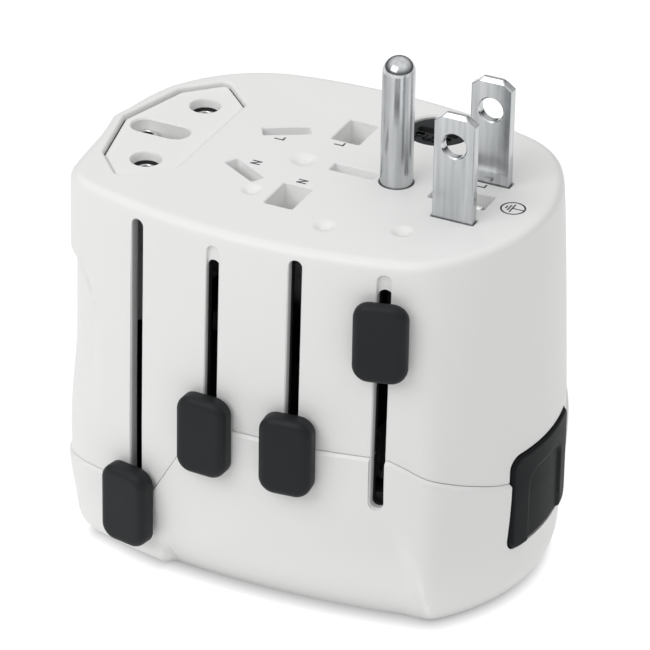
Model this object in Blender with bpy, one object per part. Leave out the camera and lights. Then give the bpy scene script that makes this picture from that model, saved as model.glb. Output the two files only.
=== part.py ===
"""Universal travel adapter: a hand-sized case with four sliders that push out four sets of plug pins.

Lengths are in millimetres in the plug-face frame: X runs along the slider face, Y into the case, Z up,
X = Y = 0 midway between the three-pin plug's live and neutral pins, and Z = 0 is the plug face. The empty
adapter carries that frame, so that in the scene the case stands on its socket face, centred on the origin.
"""

import math

import bmesh
import bpy

MM = 0.001
GAP = 0.3

# Case: four long arcs in plan, as centre and radius, with a corner arc between each two
CASE_HEIGHT = 60.0
SIDE_ARCS = ((5.5, 0.5, 30.0), (-1.0, -53.7, 80.0), (86.6, 0.0, 120.0), (-1.0, 62.3, 88.0))
CORNER_RADII = (14.0, 22.0, 7.0, 8.0)
RIGHT_X, BACK_Y, FRONT_Y = 35.5, 26.3, -25.7
TOP_ROUND = 1.5
DRAFT, FRONT_DRAFT = 1.6, 0.9
DRAFT_DEPTH = 34.0
BOTTOM_ROUND = 4.0
WALL = 2.0
PLATE = 2.5
PARTING = ((-60, -45.7), (-14.9, -45.7), (-5.9, -31.2), (20.8, -31.0), (22.4, -31.4), (26.7, -34.1),
           (33.4, -38.4), (35.5, -39.9), (60, -40.2))
PARTING_GAP = 0.3

# Hollow for the fingers on the left side
GRIP_DEPTH = 0.8
GRIP_TOP, GRIP_DROP, GRIP_FOOT = -14.2, 9.9, -42.0
GRIP_EDGE_X, GRIP_WIDTH = -24.2, 5.6

# Scoop in the foot of the slider face
SCOOP_LEFT, SCOOP_RIGHT = -11.4, 23.6
SCOOP_RIGHT_LEAN = 0.22
SCOOP_CREASE_Z, SCOOP_CREASE_SLOPE = -48.2, 0.256
SCOOP_FOOT_Y, SCOOP_FOOT_SLOPE = -20.25, 0.058
SCOOP_BLEND = 1.4

# Plug pins: place on the plug face, and length that stands out when extended
UK_PITCH, UK_EARTH_X = 11.115, 22.23
UK_BLADE, UK_EARTH_BLADE = (3.97, 6.35), (7.97, 3.97)
UK_LENGTH, UK_EARTH_LENGTH = 17.7, 22.7
AUS_X, AUS_Y, AUS_EARTH_X = -9.08, 6.86, 5.19
AUS_BLADE = (6.35, 1.6)
AUS_SLANT = math.radians(30)
AUS_LENGTH, AUS_EARTH_LENGTH = 17.1, 20.0
US_BLADE_X, US_PITCH, US_GROUND_X = 23.9, 6.35, 11.89
US_BLADE = (6.35, 1.52)
US_LENGTH, US_GROUND_LENGTH = 16.7, 20.7
US_GROUND_RADIUS = 2.4
US_HOLE_RADIUS, US_HOLE_HEIGHT = 1.98, 11.8
SWISS_X, SWISS_Y, SWISS_EARTH_X = -23.83, 9.5, -28.83
SWISS_RADIUS = 2.0
PIN_CLEARANCE = 0.35

# Guide walls below the plug face round the UK live and neutral holes: half sizes in plan, and bottom Z
GUIDE_HALF_X, GUIDE_HALF_Y, GUIDE_LOW = 2.85, 4.05, -4.5

# Travel of the sliders
UK_TRAVEL, AUS_TRAVEL, US_TRAVEL = 23.0, 20.4, 21.0
BLOCK_TRAVEL, SWISS_TRAVEL, SWISS_EARTH_TRAVEL = 19.8, 19.0, 5.0
BUTTON_TRAVEL, SHUTTER_TRAVEL = 1.5, 6.2
CARRIER_TOP = -2.8
CARRIER_THICK = 3.0

# Sliders on the front: slot X, knob centre Z, slot top Z, slot bottom Z, top of the shallow pocket, and how far
# the knob's front stands out from the plan outline
SLOT_WIDTH = 2.0
SLIDERS = {
    "swiss": (-17.75, -48.4, -2.0, -53.5, -2.0, 4.25),
    "aus": (-4.9, -32.2, -4.8, -38.5, -2.4, 4.1),
    "uk": (8.05, -32.1, -1.7, -38.5, -1.7, 4.2),
    "us": (20.75, -11.7, -4.4, -39.8, -2.0, 3.25),
}
KNOB_WIDTH, KNOB_HEIGHT = 8.05, 12.6
KNOB_POCKET = 1.5
KNOB_CORNER, KNOB_BEVEL = 2.45, 1.1
STEM_WIDTH, STEM_HEIGHT = 1.4, 5.0

# Swiss plug block
BLOCK_OUTLINE = ((-18.2, -10.8), (-18.2, 11.8), (-24.0, 17.4), (-29.3, 12.0), (-32.6, 0.4), (-30.0, -11.2),
                 (-24.8, -16.9))
BLOCK_TOP, BLOCK_HEIGHT, BLOCK_WALL = -0.6, 24.0, 1.1
BLOCK_GAP = 0.35
SWISS_CARRIER_TOP = -22.4

# Fuse
FUSE_X, FUSE_Y = 10.7, 17.3
FUSE_CAP_RADIUS, FUSE_RADIUS = 4.6, 3.15

# Release button and lock
BUTTON_HALF_WIDTH, BUTTON_TOP, BUTTON_BOTTOM = 9.3, -35.5, -51.0
BUTTON_PROUD, BUTTON_THICK, BUTTON_CORNER = 0.45, 2.6, 1.8
SPRING_Z, SPRING_RADIUS = -44.45, 2.2

# Socket face
SOCKET_LINE_Y = -3.5
SOCKET_HALF_WIDTH, SOCKET_FRONT, SOCKET_BACK, SOCKET_CORNER = 15.9, -11.5, 22.2, 11.0
SOCKET_THICK = 4.2
PIN_WINDOW = (4.4, 14.6, 2.5)
EARTH_WINDOW = (4.3, 5.9, 20.8)

SCREWS = ((25.0, 14.5), (25.6, -12.6), (-17.2, 19.5), (-12.6, -16.8))

# Where the case's centre stands in the plug-face frame, and the height of the plug face
BULGE = 2.0
LEFT_X = -34.6
KNOB_FRONT_Y = -29.79
CENTRE_X = 0.5 * (LEFT_X + RIGHT_X + DRAFT + BUTTON_PROUD)
CENTRE_Y = 0.5 * (KNOB_FRONT_Y + BACK_Y + DRAFT)

COLOURS = {
    "shell": ((0.83, 0.83, 0.81), 0.45, 0.0),
    "soft_black": ((0.025, 0.027, 0.03), 0.6, 0.0),
    "inner_black": ((0.02, 0.02, 0.022), 0.5, 0.0),
    "inner_white": ((0.7, 0.7, 0.68), 0.5, 0.0),
    "nickel": ((0.72, 0.7, 0.67), 0.25, 1.0),
    "steel": ((0.55, 0.56, 0.58), 0.35, 1.0),
    "brass": ((0.8, 0.6, 0.28), 0.3, 1.0),
    "ceramic": ((0.88, 0.87, 0.82), 0.3, 0.0),
}


def smooth_step(value):
    """0 below 0, 1 above 1, with a smooth rise between."""
    value = min(1.0, max(0.0, value))
    return value * value * (3 - 2 * value)


def mix(first, second, share):
    return first + (second - first) * share


# ---------------------------------------------------------------- case surface

def outline_arcs():
    """The plan outline, as arcs in turn: (x, y, radius, first normal angle, last normal angle)."""
    quadrants = ((1, 1), (-1, 1), (-1, -1), (1, -1))
    corners = []
    for index in range(4):
        x0, y0, r0 = SIDE_ARCS[index]
        x1, y1, r1 = SIDE_ARCS[(index + 1) % 4]
        r0 -= CORNER_RADII[index]
        r1 -= CORNER_RADII[index]
        distance = math.hypot(x1 - x0, y1 - y0)
        along = (r0 * r0 - r1 * r1 + distance * distance) / (2 * distance)
        across = math.sqrt(r0 * r0 - along * along)
        ex, ey = (x1 - x0) / distance, (y1 - y0) / distance
        sign_x, sign_y = quadrants[index]
        choices = [(x0 + along * ex - s * across * ey, y0 + along * ey + s * across * ex) for s in (-1, 1)]
        corners.append(max(choices, key=lambda p: p[0] * sign_x + p[1] * sign_y))
    arcs = []
    for index in range(4):
        x, y, radius = SIDE_ARCS[index]
        before, after = corners[index - 1], corners[index]
        start = math.atan2(before[1] - y, before[0] - x)
        end = math.atan2(after[1] - y, after[0] - x)
        if end < start:
            end += 2 * math.pi
        arcs.append((x, y, radius, start, end))
        next_x, next_y, _ = SIDE_ARCS[(index + 1) % 4]
        turn = math.atan2(after[1] - next_y, after[0] - next_x)
        while turn < end:
            turn += 2 * math.pi
        arcs.append((after[0], after[1], CORNER_RADII[index], end, turn))
    return arcs


OUTLINE = outline_arcs()
ARC_STEPS = (6, 4, 7, 5, 6, 4, 12, 4)


def outline_stations():
    """(arc, normal angle) of each point round the plan outline."""
    stations = []
    for arc, steps in zip(OUTLINE, ARC_STEPS):
        stations += [(arc, arc[3] + (arc[4] - arc[3]) * i / steps) for i in range(steps)]
    return stations


STATIONS = outline_stations()


def grip_depth(x, z):
    """How far the grip hollow goes in at this place."""
    along = (x - GRIP_EDGE_X + GRIP_WIDTH) / GRIP_WIDTH
    if along >= 1:
        return 0.0
    crease = GRIP_TOP - GRIP_DROP * (1 - math.sqrt(1 - max(0.0, along) ** 2))
    fade = smooth_step((z - GRIP_FOOT) / (GRIP_TOP - GRIP_DROP - GRIP_FOOT))
    return GRIP_DEPTH * smooth_step((crease - z) / 1.3) * fade


def side_offset(angle, x, z):
    """How far the case's side stands outside its plan outline, by the side's direction and height."""
    if z > -TOP_ROUND:
        return math.sqrt(max(0.0, TOP_ROUND**2 - (z + TOP_ROUND) ** 2)) - TOP_ROUND
    right = max(0.0, math.cos(angle))
    front = smooth_step((-math.sin(angle) - 0.7) / 0.25)
    draft = mix(DRAFT, FRONT_DRAFT, front) * min(1.0, (-TOP_ROUND - z) / DRAFT_DEPTH) ** 0.8
    draft *= 1 - max(0.0, -math.cos(angle))
    taper = 1.2 * max(0.0, (-42.0 - z) / 16.0) ** 2
    below = max(0.0, BOTTOM_ROUND - CASE_HEIGHT - z)
    rounding = BOTTOM_ROUND - math.sqrt(max(0.0, BOTTOM_ROUND**2 - below**2))
    return draft - taper - rounding * (0.65 - 0.2 * right) - grip_depth(x, z)


def scoop_floor(x, z):
    """The scoop's Y at this place, and how fully it is formed there, 0 to 1."""
    crease = SCOOP_CREASE_Z + SCOOP_CREASE_SLOPE * x
    depth = (crease - z) / (crease + CASE_HEIGHT)
    right = SCOOP_RIGHT + SCOOP_RIGHT_LEAN * (crease - z)
    share = smooth_step((x - SCOOP_LEFT) / SCOOP_BLEND + 0.5) * smooth_step((right - x) / SCOOP_BLEND + 0.5)
    top = front_surface(x, FRONT_DRAFT)
    return mix(top, SCOOP_FOOT_Y + SCOOP_FOOT_SLOPE * x, depth), share if depth > 0 else 0.0


def front_surface(x, offset):
    """Y of the slider face's arc at x, moved out by offset."""
    centre_x, centre_y, radius = SIDE_ARCS[3]
    return centre_y - math.sqrt((radius + offset) ** 2 - (x - centre_x) ** 2)


def case_ring(z, inset):
    """One level of the case's surface, or of its inside when inset is the wall."""
    ring = []
    for (centre_x, centre_y, radius, _, _), angle in STATIONS:
        reach = radius + side_offset(angle, centre_x + radius * math.cos(angle), z) - inset
        x, y = centre_x + reach * math.cos(angle), centre_y + reach * math.sin(angle)
        if y < 0:
            floor, formed = scoop_floor(x, z)
            y = max(y, mix(y, floor + inset, formed))
        ring.append((x, y, z))
    return ring


OUTER_LEVELS = (0.0, -0.2, -0.64, -1.5, -6.0, -14.2, -15.5, -19.5, -25.0, -33.5, -42.0, -45.5, -49.0, -52.5,
                -56.0, -58.0, -59.2, -60.0)
INNER_LEVELS = (-2.5, -14.2, -15.5, -19.5, -25.0, -33.5, -42.0, -45.5, -49.0, -52.5, -57.5)


# ---------------------------------------------------------------- mesh helpers

def clear_scene():
    for obj in list(bpy.data.objects):
        bpy.data.objects.remove(obj, do_unlink=True)


def make_material(name):
    colour, roughness, metallic = COLOURS[name]
    material = bpy.data.materials.new(name)
    material.use_nodes = True
    shader = material.node_tree.nodes["Principled BSDF"]
    shader.inputs["Base Color"].default_value = (*colour, 1.0)
    shader.inputs["Roughness"].default_value = roughness
    shader.inputs["Metallic"].default_value = metallic
    return material


def make_frame():
    """The empty that carries the plug-face frame."""
    frame = bpy.data.objects.new("adapter", None)
    frame.location = (-CENTRE_X * MM, -CENTRE_Y * MM, CASE_HEIGHT * MM)
    bpy.context.scene.collection.objects.link(frame)
    return frame


def to_object(name, bm, material=None, origin=(0, 0, 0), smooth=True):
    """Closes a bmesh into an object whose origin is at the given point."""
    bmesh.ops.recalc_face_normals(bm, faces=bm.faces)
    for vertex in bm.verts:
        vertex.co = [(vertex.co[i] - origin[i]) * MM for i in range(3)]
    mesh = bpy.data.meshes.new(name)
    bm.to_mesh(mesh)
    bm.free()
    if smooth:
        mesh.shade_smooth()
        mesh.set_sharp_from_angle(angle=math.radians(35))
    obj = bpy.data.objects.new(name, mesh)
    obj.location = [value * MM for value in origin]
    obj.parent = FRAME
    if material:
        mesh.materials.append(MATERIALS[material])
    bpy.context.scene.collection.objects.link(obj)
    return obj


def add_rings(bm, rings):
    """Adds a closed body through rings of equal length, with a flat cap at each end."""
    rows = [[bm.verts.new(point) for point in ring] for ring in rings]
    count = len(rows[0])
    for low, high in zip(rows, rows[1:]):
        for i in range(count):
            j = (i + 1) % count
            bm.faces.new((low[i], low[j], high[j], high[i]))
    bm.faces.new(rows[0])
    bm.faces.new(rows[-1])
    return bm


def add_prism(bm, outline, low, high):
    """Adds an upright prism on a plan outline."""
    return add_rings(bm, [[(x, y, z) for x, y in outline] for z in (low, high)])


def add_box(bm, x, y, z):
    return add_prism(bm, ((x[0], y[0]), (x[1], y[0]), (x[1], y[1]), (x[0], y[1])), *z)


def add_turned(bm, x, y, profile, steps=20):
    """Adds a body turned about a vertical axis, from (radius, z) pairs that run from one end to the other."""
    rings = []
    for radius, z in profile:
        angles = [2 * math.pi * i / steps for i in range(steps)]
        rings.append([(x + radius * math.cos(a), y + radius * math.sin(a), z) for a in angles])
    return add_rings(bm, rings)


def swept_prism(outline, low, high, axis):
    """A prism that runs along X or Y, from an outline in the other horizontal axis and Z."""
    bm = bmesh.new()
    if axis == "x":
        rings = [[(level, a, z) for a, z in outline] for level in (low, high)]
    else:
        rings = [[(a, level, z) for a, z in outline] for level in (low, high)]
    return add_rings(bm, rings)


def rounded_rectangle(half_x, half_y, radius, steps=3):
    points = []
    for sign_x, sign_y, first in ((1, 1, 0), (-1, 1, 90), (-1, -1, 180), (1, -1, 270)):
        for i in range(steps + 1):
            angle = math.radians(first + 90 * i / steps)
            points.append((sign_x * (half_x - radius) + radius * math.cos(angle),
                           sign_y * (half_y - radius) + radius * math.sin(angle)))
    return points


def moved(outline, dx, dy, turn=0.0):
    cos, sin = math.cos(turn), math.sin(turn)
    return [(dx + x * cos - y * sin, dy + x * sin + y * cos) for x, y in outline]


def rectangle(size_x, size_y):
    return [(-size_x / 2, -size_y / 2), (size_x / 2, -size_y / 2), (size_x / 2, size_y / 2), (-size_x / 2, size_y / 2)]


def inset_outline(outline, distance):
    """A convex plan outline with each side moved in by distance."""
    count = len(outline)
    area = sum(outline[i - 1][0] * outline[i][1] - outline[i][0] * outline[i - 1][1] for i in range(count))
    turn = 1 if area > 0 else -1
    lines = []
    for i in range(count):
        (x0, y0), (x1, y1) = outline[i], outline[(i + 1) % count]
        length = math.hypot(x1 - x0, y1 - y0)
        nx, ny = -(y1 - y0) / length * turn, (x1 - x0) / length * turn
        lines.append((nx, ny, nx * x0 + ny * y0 + distance))
    points = []
    for i in range(count):
        (a, b, c), (d, e, f) = lines[i - 1], lines[i]
        determinant = a * e - b * d
        points.append(((c * e - b * f) / determinant, (a * f - c * d) / determinant))
    return points


def combine(obj, bm, operation):
    """Cuts obj with the closed bodies in bm, or joins them to it."""
    tool = to_object(f"{obj.name}_{operation.lower()}_{len(obj.modifiers)}", bm, smooth=False)
    tool.hide_render = True
    tool.display_type = "WIRE"
    modifier = obj.modifiers.new(tool.name, "BOOLEAN")
    modifier.operation = operation
    modifier.object = tool
    modifier.solver = "EXACT"
    modifier.use_self = True
    return obj


def cut(obj, bm):
    return combine(obj, bm, "DIFFERENCE")


def join(obj, bm):
    return combine(obj, bm, "UNION")


# ---------------------------------------------------------------- case

def case_solid(levels, inset):
    return add_rings(bmesh.new(), [case_ring(z, inset) for z in levels])


def rim_bulge():
    """The thicker wall round the Swiss plug block's bay, which fades into the case below."""
    levels = ((0.0, BULGE - 1.2), (-0.2, BULGE - 0.6), (-0.64, BULGE - 0.2), (-1.5, BULGE), (-24.0, BULGE), (-38.0, -1.0))
    rings = [[(x, y, z) for x, y in inset_outline(BLOCK_OUTLINE, -offset)] for z, offset in levels]
    return add_rings(bmesh.new(), rings)


def beyond_parting(side):
    """A block that fills everything above (side 1) or below (side -1) the parting line, and half the gap there."""
    path = [(x, z - side * PARTING_GAP / 2) for x, z in PARTING]
    far = side * 100
    outline = path + [(path[-1][0], far), (path[0][0], far)]
    return swept_prism(outline, -60, 60, "y")


def slot_cutter(bm, name, low_limit=-60.0):
    x, _, top, bottom, *_ = SLIDERS[name]
    half = SLOT_WIDTH / 2
    outline = [(x - half, bottom), (x + half, bottom)]
    for i in range(7):
        angle = math.pi * i / 6
        outline.append((x + half * math.cos(angle), top - half + half * math.sin(angle)))
    rings = [[(a, level, max(z, low_limit)) for a, z in outline] for level in (FRONT_Y - 8, FRONT_Y + 9)]
    return add_rings(bm, rings)


def pocket_cutter(bm, name):
    """The shallow pocket above a slot."""
    x, _, top, _, pocket_top, _ = SLIDERS[name]
    half = SLOT_WIDTH / 2
    outline = [(x - half, top - 1.5), (x + half, top - 1.5)]
    for i in range(7):
        angle = math.pi * i / 6
        outline.append((x + half * math.cos(angle), pocket_top - half + half * math.sin(angle)))
    depth = front_surface(x, 0) + 0.6
    return add_rings(bm, [[(a, level, z) for a, z in outline] for level in (FRONT_Y - 8, depth)])


def face_pockets():
    """Name, plan outline and bottom of each hole through the plug face."""
    spare = 2 * PIN_CLEARANCE
    holes = []
    for sign in (-1, 1):
        holes.append(moved(rectangle(UK_BLADE[0] + 0.3, UK_BLADE[1] + 0.3), 0, sign * UK_PITCH))
        slanted = rectangle(AUS_BLADE[0] + spare, AUS_BLADE[1] + spare)
        holes.append(moved(slanted, AUS_X, sign * AUS_Y, sign * AUS_SLANT))
        holes.append(moved(rectangle(US_BLADE[0] + spare, US_BLADE[1] + spare), US_BLADE_X, sign * US_PITCH))
    holes.append(moved(rectangle(UK_EARTH_BLADE[0] + spare, UK_EARTH_BLADE[1] + spare), UK_EARTH_X, 0))
    holes.append(moved(rectangle(AUS_BLADE[0] + spare, AUS_BLADE[1] + spare), AUS_EARTH_X, 0))
    return holes


def add_guide_box(bm, sign, grow, low, high):
    """Adds a box on the guide walls' outline round one of the two UK pins."""
    half_x, half_y = GUIDE_HALF_X + grow, GUIDE_HALF_Y + grow
    middle = sign * UK_PITCH
    return add_box(bm, (-half_x, half_x), (middle - half_y, middle + half_y), (low, high))


def screw_post(bm, x, y):
    return add_turned(bm, x, y, ((3.0, -1.0), (3.0, -45.6)), 16)


def make_upper_housing():
    shell = to_object("upper_housing", case_solid(OUTER_LEVELS, 0.0), "shell")
    join(shell, rim_bulge())
    cut(shell, case_solid(INNER_LEVELS, WALL))
    cut(shell, beyond_parting(-1))
    posts = bmesh.new()
    for x, y in SCREWS:
        screw_post(posts, x, y)
    for sign in (-1, 1):
        add_guide_box(posts, sign, 0.0, GUIDE_LOW, -PLATE + 0.5)
    join(shell, posts)
    holes = bmesh.new()
    for outline in face_pockets():
        add_prism(holes, outline, GUIDE_LOW - 1, 1)
    add_turned(holes, US_GROUND_X, 0, [(US_GROUND_RADIUS + 0.3, z) for z in (-PLATE - 1, 1)], 24)
    add_turned(holes, FUSE_X, FUSE_Y, ((FUSE_CAP_RADIUS + GAP, 1), (FUSE_CAP_RADIUS + GAP, -1.6),
                                       (FUSE_CAP_RADIUS - 0.7, -1.6), (FUSE_CAP_RADIUS - 0.7, -4)), 24)
    add_prism(holes, BLOCK_OUTLINE, BLOCK_TOP - BLOCK_HEIGHT - 2.4, 1)
    for x, y in SCREWS:
        add_turned(holes, x, y, ((1.5, -47), (1.5, -36)), 12)
    cut(shell, holes)
    slots = bmesh.new()
    for name in SLIDERS:
        slot_cutter(slots, name)
    cut(shell, slots)
    pockets = bmesh.new()
    for name in ("aus", "us"):
        pocket_cutter(pockets, name)
    cut(shell, pockets)
    cut(shell, button_prism(GAP))
    return shell


def make_lower_housing():
    shell = to_object("lower_housing", case_solid(OUTER_LEVELS, 0.0), "shell")
    cut(shell, case_solid(INNER_LEVELS, WALL))
    cut(shell, beyond_parting(1))
    bosses = bmesh.new()
    for x, y in SCREWS:
        add_turned(bosses, x, y, ((3.3, -45.9), (3.3, -58.5)), 16)
    join(shell, bosses)
    holes = bmesh.new()
    for x, y in SCREWS:
        add_turned(holes, x, y, ((2.6, -61), (2.6, -55.7), (1.5, -55.7), (1.5, -44)), 16)
    add_prism(holes, socket_outline(GAP), -61, -54)
    cut(shell, holes)
    slots = bmesh.new()
    for name in ("us", "uk", "aus", "swiss"):
        slot_cutter(slots, name)
    cut(shell, slots)
    cut(shell, button_prism(GAP))
    return shell


def make_screws():
    for index, (x, y) in enumerate(SCREWS):
        profile = ((0.8, -38), (1.2, -39), (1.2, -56.0), (2.3, -56.0), (2.3, -57.8), (1.2, -57.8), (0.9, -57.2))
        bm = add_turned(bmesh.new(), x, y, profile, 10)
        to_object(f"case_screw_{index + 1}", bm, "steel")


# ---------------------------------------------------------------- plug pins

def bevelled_blade(name, outline, low, high, bevel, material, origin):
    """A flat blade on a plan outline, with its top edges bevelled."""
    bm = bmesh.new()
    middle_x = sum(p[0] for p in outline) / len(outline)
    middle_y = sum(p[1] for p in outline) / len(outline)
    turn = math.atan2(outline[1][1] - outline[0][1], outline[1][0] - outline[0][0])
    flat = moved([(x - middle_x, y - middle_y) for x, y in outline], 0, 0, -turn)
    tip = [(x - math.copysign(bevel[0], x), y - math.copysign(bevel[1], y)) for x, y in flat]
    tip = moved(tip, middle_x, middle_y, turn)
    rings = [[(x, y, z) for x, y in ring] for ring, z in ((outline, low), (outline, high - bevel[2]), (tip, high))]
    return to_object(name, add_rings(bm, rings), material, origin)


def make_us_pins(carrier):
    origin = (US_BLADE_X, 0, CARRIER_TOP)
    for name, sign in (("us_line_blade", 1), ("us_neutral_blade", -1)):
        outline = moved(rectangle(*US_BLADE), US_BLADE_X, sign * US_PITCH)
        blade = bevelled_blade(name, outline, CARRIER_TOP - CARRIER_THICK + 1, US_LENGTH, (1.5, 0.35, 1.4),
                               "nickel", origin)
        hole = bmesh.new()
        steps = 20
        rings = []
        for level in (-2, 2):
            ring = []
            for i in range(steps):
                angle = 2 * math.pi * i / steps
                ring.append((US_BLADE_X + US_HOLE_RADIUS * math.cos(angle), sign * US_PITCH + level,
                             US_HOLE_HEIGHT + US_HOLE_RADIUS * math.sin(angle)))
            rings.append(ring)
        cut(blade, add_rings(hole, rings))
    dome = [(US_GROUND_RADIUS * math.cos(math.radians(a)),
             US_GROUND_LENGTH - US_GROUND_RADIUS * (1 - math.sin(math.radians(a)))) for a in (0, 20, 40, 60, 78)]
    profile = [(US_GROUND_RADIUS, CARRIER_TOP - CARRIER_THICK + 1)] + dome
    to_object("us_ground_pin", add_turned(bmesh.new(), US_GROUND_X, 0, profile, 24), "nickel",
              (US_GROUND_X, 0, CARRIER_TOP))
    sockets = bmesh.new()
    for sign in (1, -1):
        outline = moved(rectangle(US_BLADE[0] + 0.6, US_BLADE[1] + 0.6), US_BLADE_X, sign * US_PITCH)
        add_prism(sockets, outline, CARRIER_TOP - CARRIER_THICK + 0.7, CARRIER_TOP + 1)
    add_turned(sockets, US_GROUND_X, 0, [(US_GROUND_RADIUS + 0.3, z) for z in
                                         (CARRIER_TOP - CARRIER_THICK + 0.7, CARRIER_TOP + 1)], 24)
    cut(carrier, sockets)


def make_aus_pins(carrier, top):
    sockets = bmesh.new()
    origin = (AUS_X, 0, top)
    low = top - CARRIER_THICK + 1
    for name, sign in (("aus_line_blade", 1), ("aus_neutral_blade", -1)):
        outline = moved(rectangle(*AUS_BLADE), AUS_X, sign * AUS_Y, sign * AUS_SLANT)
        bevelled_blade(name, outline, low, AUS_LENGTH - AUS_TRAVEL, (0.8, 0.3, 0.8), "brass", origin)
        wide = rectangle(AUS_BLADE[0] + 0.6, AUS_BLADE[1] + 0.6)
        add_prism(sockets, moved(wide, AUS_X, sign * AUS_Y, sign * AUS_SLANT), low - 0.3, top + 1)
    outline = moved(rectangle(*AUS_BLADE), AUS_EARTH_X, 0)
    bevelled_blade("aus_earth_blade", outline, low, AUS_EARTH_LENGTH - AUS_TRAVEL, (0.8, 0.3, 0.8), "brass", origin)
    add_prism(sockets, moved(rectangle(AUS_BLADE[0] + 0.6, AUS_BLADE[1] + 0.6), AUS_EARTH_X, 0), low - 2, top + 1)
    cut(carrier, sockets)


# ---------------------------------------------------------------- sliders

def stem_box(name, inner_y):
    """The stem that runs from inside the case through a slot into the knob, as X, Y and Z ranges."""
    x, knob_z, *_ = SLIDERS[name]
    half_x, half_z = STEM_WIDTH / 2, STEM_HEIGHT / 2
    return (x - half_x, x + half_x), (knob_back(x) - KNOB_POCKET, inner_y), (knob_z - half_z, knob_z + half_z)


def knob_back(x):
    return front_surface(x, FRONT_DRAFT) - GAP


def knob_point(x, stand_out, across):
    """(X, Y) of a point on a knob, by how far it stands out from the plan outline and how far across it lies."""
    centre_x, _, radius = SIDE_ARCS[3]
    turn = math.asin((x - centre_x) / radius)
    out = stand_out - across * across / (2 * radius)
    return (x + across * math.cos(turn) + out * math.sin(turn),
            front_surface(x, 0) + across * math.sin(turn) - out * math.cos(turn))


def make_knob(name):
    """A rounded rectangular knob that stands square to the slider face, with a pocket for the stem."""
    x, knob_z, _, _, _, stand_out = SLIDERS[name]
    bevel = KNOB_BEVEL
    rings = []
    for inset, out in ((0.0, FRONT_DRAFT + GAP), (0.0, stand_out - bevel), (0.3 * bevel, stand_out - 0.3 * bevel),
                       (bevel, stand_out)):
        outline = rounded_rectangle(KNOB_WIDTH / 2 - inset, KNOB_HEIGHT / 2 - inset, KNOB_CORNER - inset)
        rings.append([(*knob_point(x, out, a), knob_z + b) for a, b in outline])
    knob = to_object(f"{name}_knob", add_rings(bmesh.new(), rings), "soft_black", (x, knob_back(x), knob_z))
    half_x, half_z = STEM_WIDTH / 2 + GAP, STEM_HEIGHT / 2 + GAP
    return cut(knob, add_box(bmesh.new(), (x - half_x, x + half_x), (knob_back(x) - KNOB_POCKET - GAP, FRONT_Y + 4),
                             (knob_z - half_z, knob_z + half_z)))


def make_carrier(name, pads, top, web_y, material="inner_black"):
    """Pin carrier: plan pads joined to one flat plate, a web below it and a stem out through the slot."""
    x, knob_z, *_ = SLIDERS[name]
    first, *others = pads
    bm = add_prism(bmesh.new(), first, top - CARRIER_THICK, top)
    carrier = to_object(f"{name}_carrier", bm, material, (x, FRONT_Y + 4, top), smooth=False)
    for outline in others:
        join(carrier, add_prism(bmesh.new(), outline, top - CARRIER_THICK, top))
    low = knob_z - STEM_HEIGHT / 2
    web = add_box(bmesh.new(), (x - STEM_WIDTH / 2, x + STEM_WIDTH / 2), web_y, (low, top - 0.5))
    join(carrier, web)
    join(carrier, add_box(bmesh.new(), *stem_box(name, web_y[1] - 0.5)))
    return carrier


def box_outline(x0, x1, y0, y1):
    return ((x0, y0), (x1, y0), (x1, y1), (x0, y1))


def make_us_slider():
    pads = [
        box_outline(9.55, 31.0, -8.1, -2.9),
        box_outline(9.55, 14.5, -3.4, 3.2),
        box_outline(27.2, 31.0, -3.4, 8.1),
        box_outline(20.2, 27.7, 4.6, 8.1),
        box_outline(19.8, 21.8, -20.2, -7.6),
    ]
    carrier = make_carrier("us", pads, CARRIER_TOP, (-20.2, -17.6))
    make_us_pins(carrier)
    make_knob("us")


def make_uk_slider():
    top = CARRIER_TOP - UK_TRAVEL
    pads = [
        box_outline(-2.9, 10.2, -15.0, -8.6),
        box_outline(-2.9, 2.9, -9.1, -7.3),
        box_outline(6.8, 9.4, -21.0, -14.5),
    ]
    carrier = make_carrier("uk", pads, top, (-21.0, -18.2))
    far_pads = [
        box_outline(-2.9, 17.4, 8.6, 12.6),
        box_outline(-2.9, 2.9, 7.3, 9.1),
        box_outline(-2.9, 2.9, 12.1, 15.0),
        box_outline(14.9, 17.4, -2.4, 9.1),
        box_outline(16.9, 26.9, -2.4, 2.4),
    ]
    first, *others = far_pads
    far = to_object("uk_far_carrier", add_prism(bmesh.new(), first, top - CARRIER_THICK, top), "inner_black",
                    (UK_EARTH_X, 0, top), smooth=False)
    for outline in others:
        join(far, add_prism(bmesh.new(), outline, top - CARRIER_THICK, top))
    for holder, low_y, sign in ((carrier, -10.9, -1), (far, 8.0, 1)):
        cut(holder, add_box(bmesh.new(), (8.38, 9.48), (low_y, low_y + 2.9), (top - 2.2, top + 1)))
        cut(holder, add_guide_box(bmesh.new(), sign, 0.2, top + GUIDE_LOW - CARRIER_TOP - 0.2, top + 1))
    make_uk_pins(carrier, far, top)
    make_bridge(top)
    make_knob("uk")


def make_uk_pins(carrier, far, top):
    """The neutral pin stands in the near carrier, and the live and earth pins in the far one."""
    low = top - CARRIER_THICK + 0.6
    origin = (0, 0, top)
    for name, x, y, size, length, holder in (
        ("uk_neutral_pin", 0, -UK_PITCH, UK_BLADE, UK_LENGTH, carrier),
        ("uk_line_pin", 0, UK_PITCH, UK_BLADE, UK_LENGTH, far),
        ("uk_earth_pin", UK_EARTH_X, 0, UK_EARTH_BLADE, UK_EARTH_LENGTH, far),
    ):
        bevelled_blade(name, moved(rectangle(*size), x, y), low, length - UK_TRAVEL, (0.8, 0.8, 0.8), "brass", origin)
        pocket = moved(rectangle(size[0] + 0.6, size[1] + 0.6), x, y)
        cut(holder, add_prism(bmesh.new(), pocket, low - 0.3, top + 1))


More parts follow.
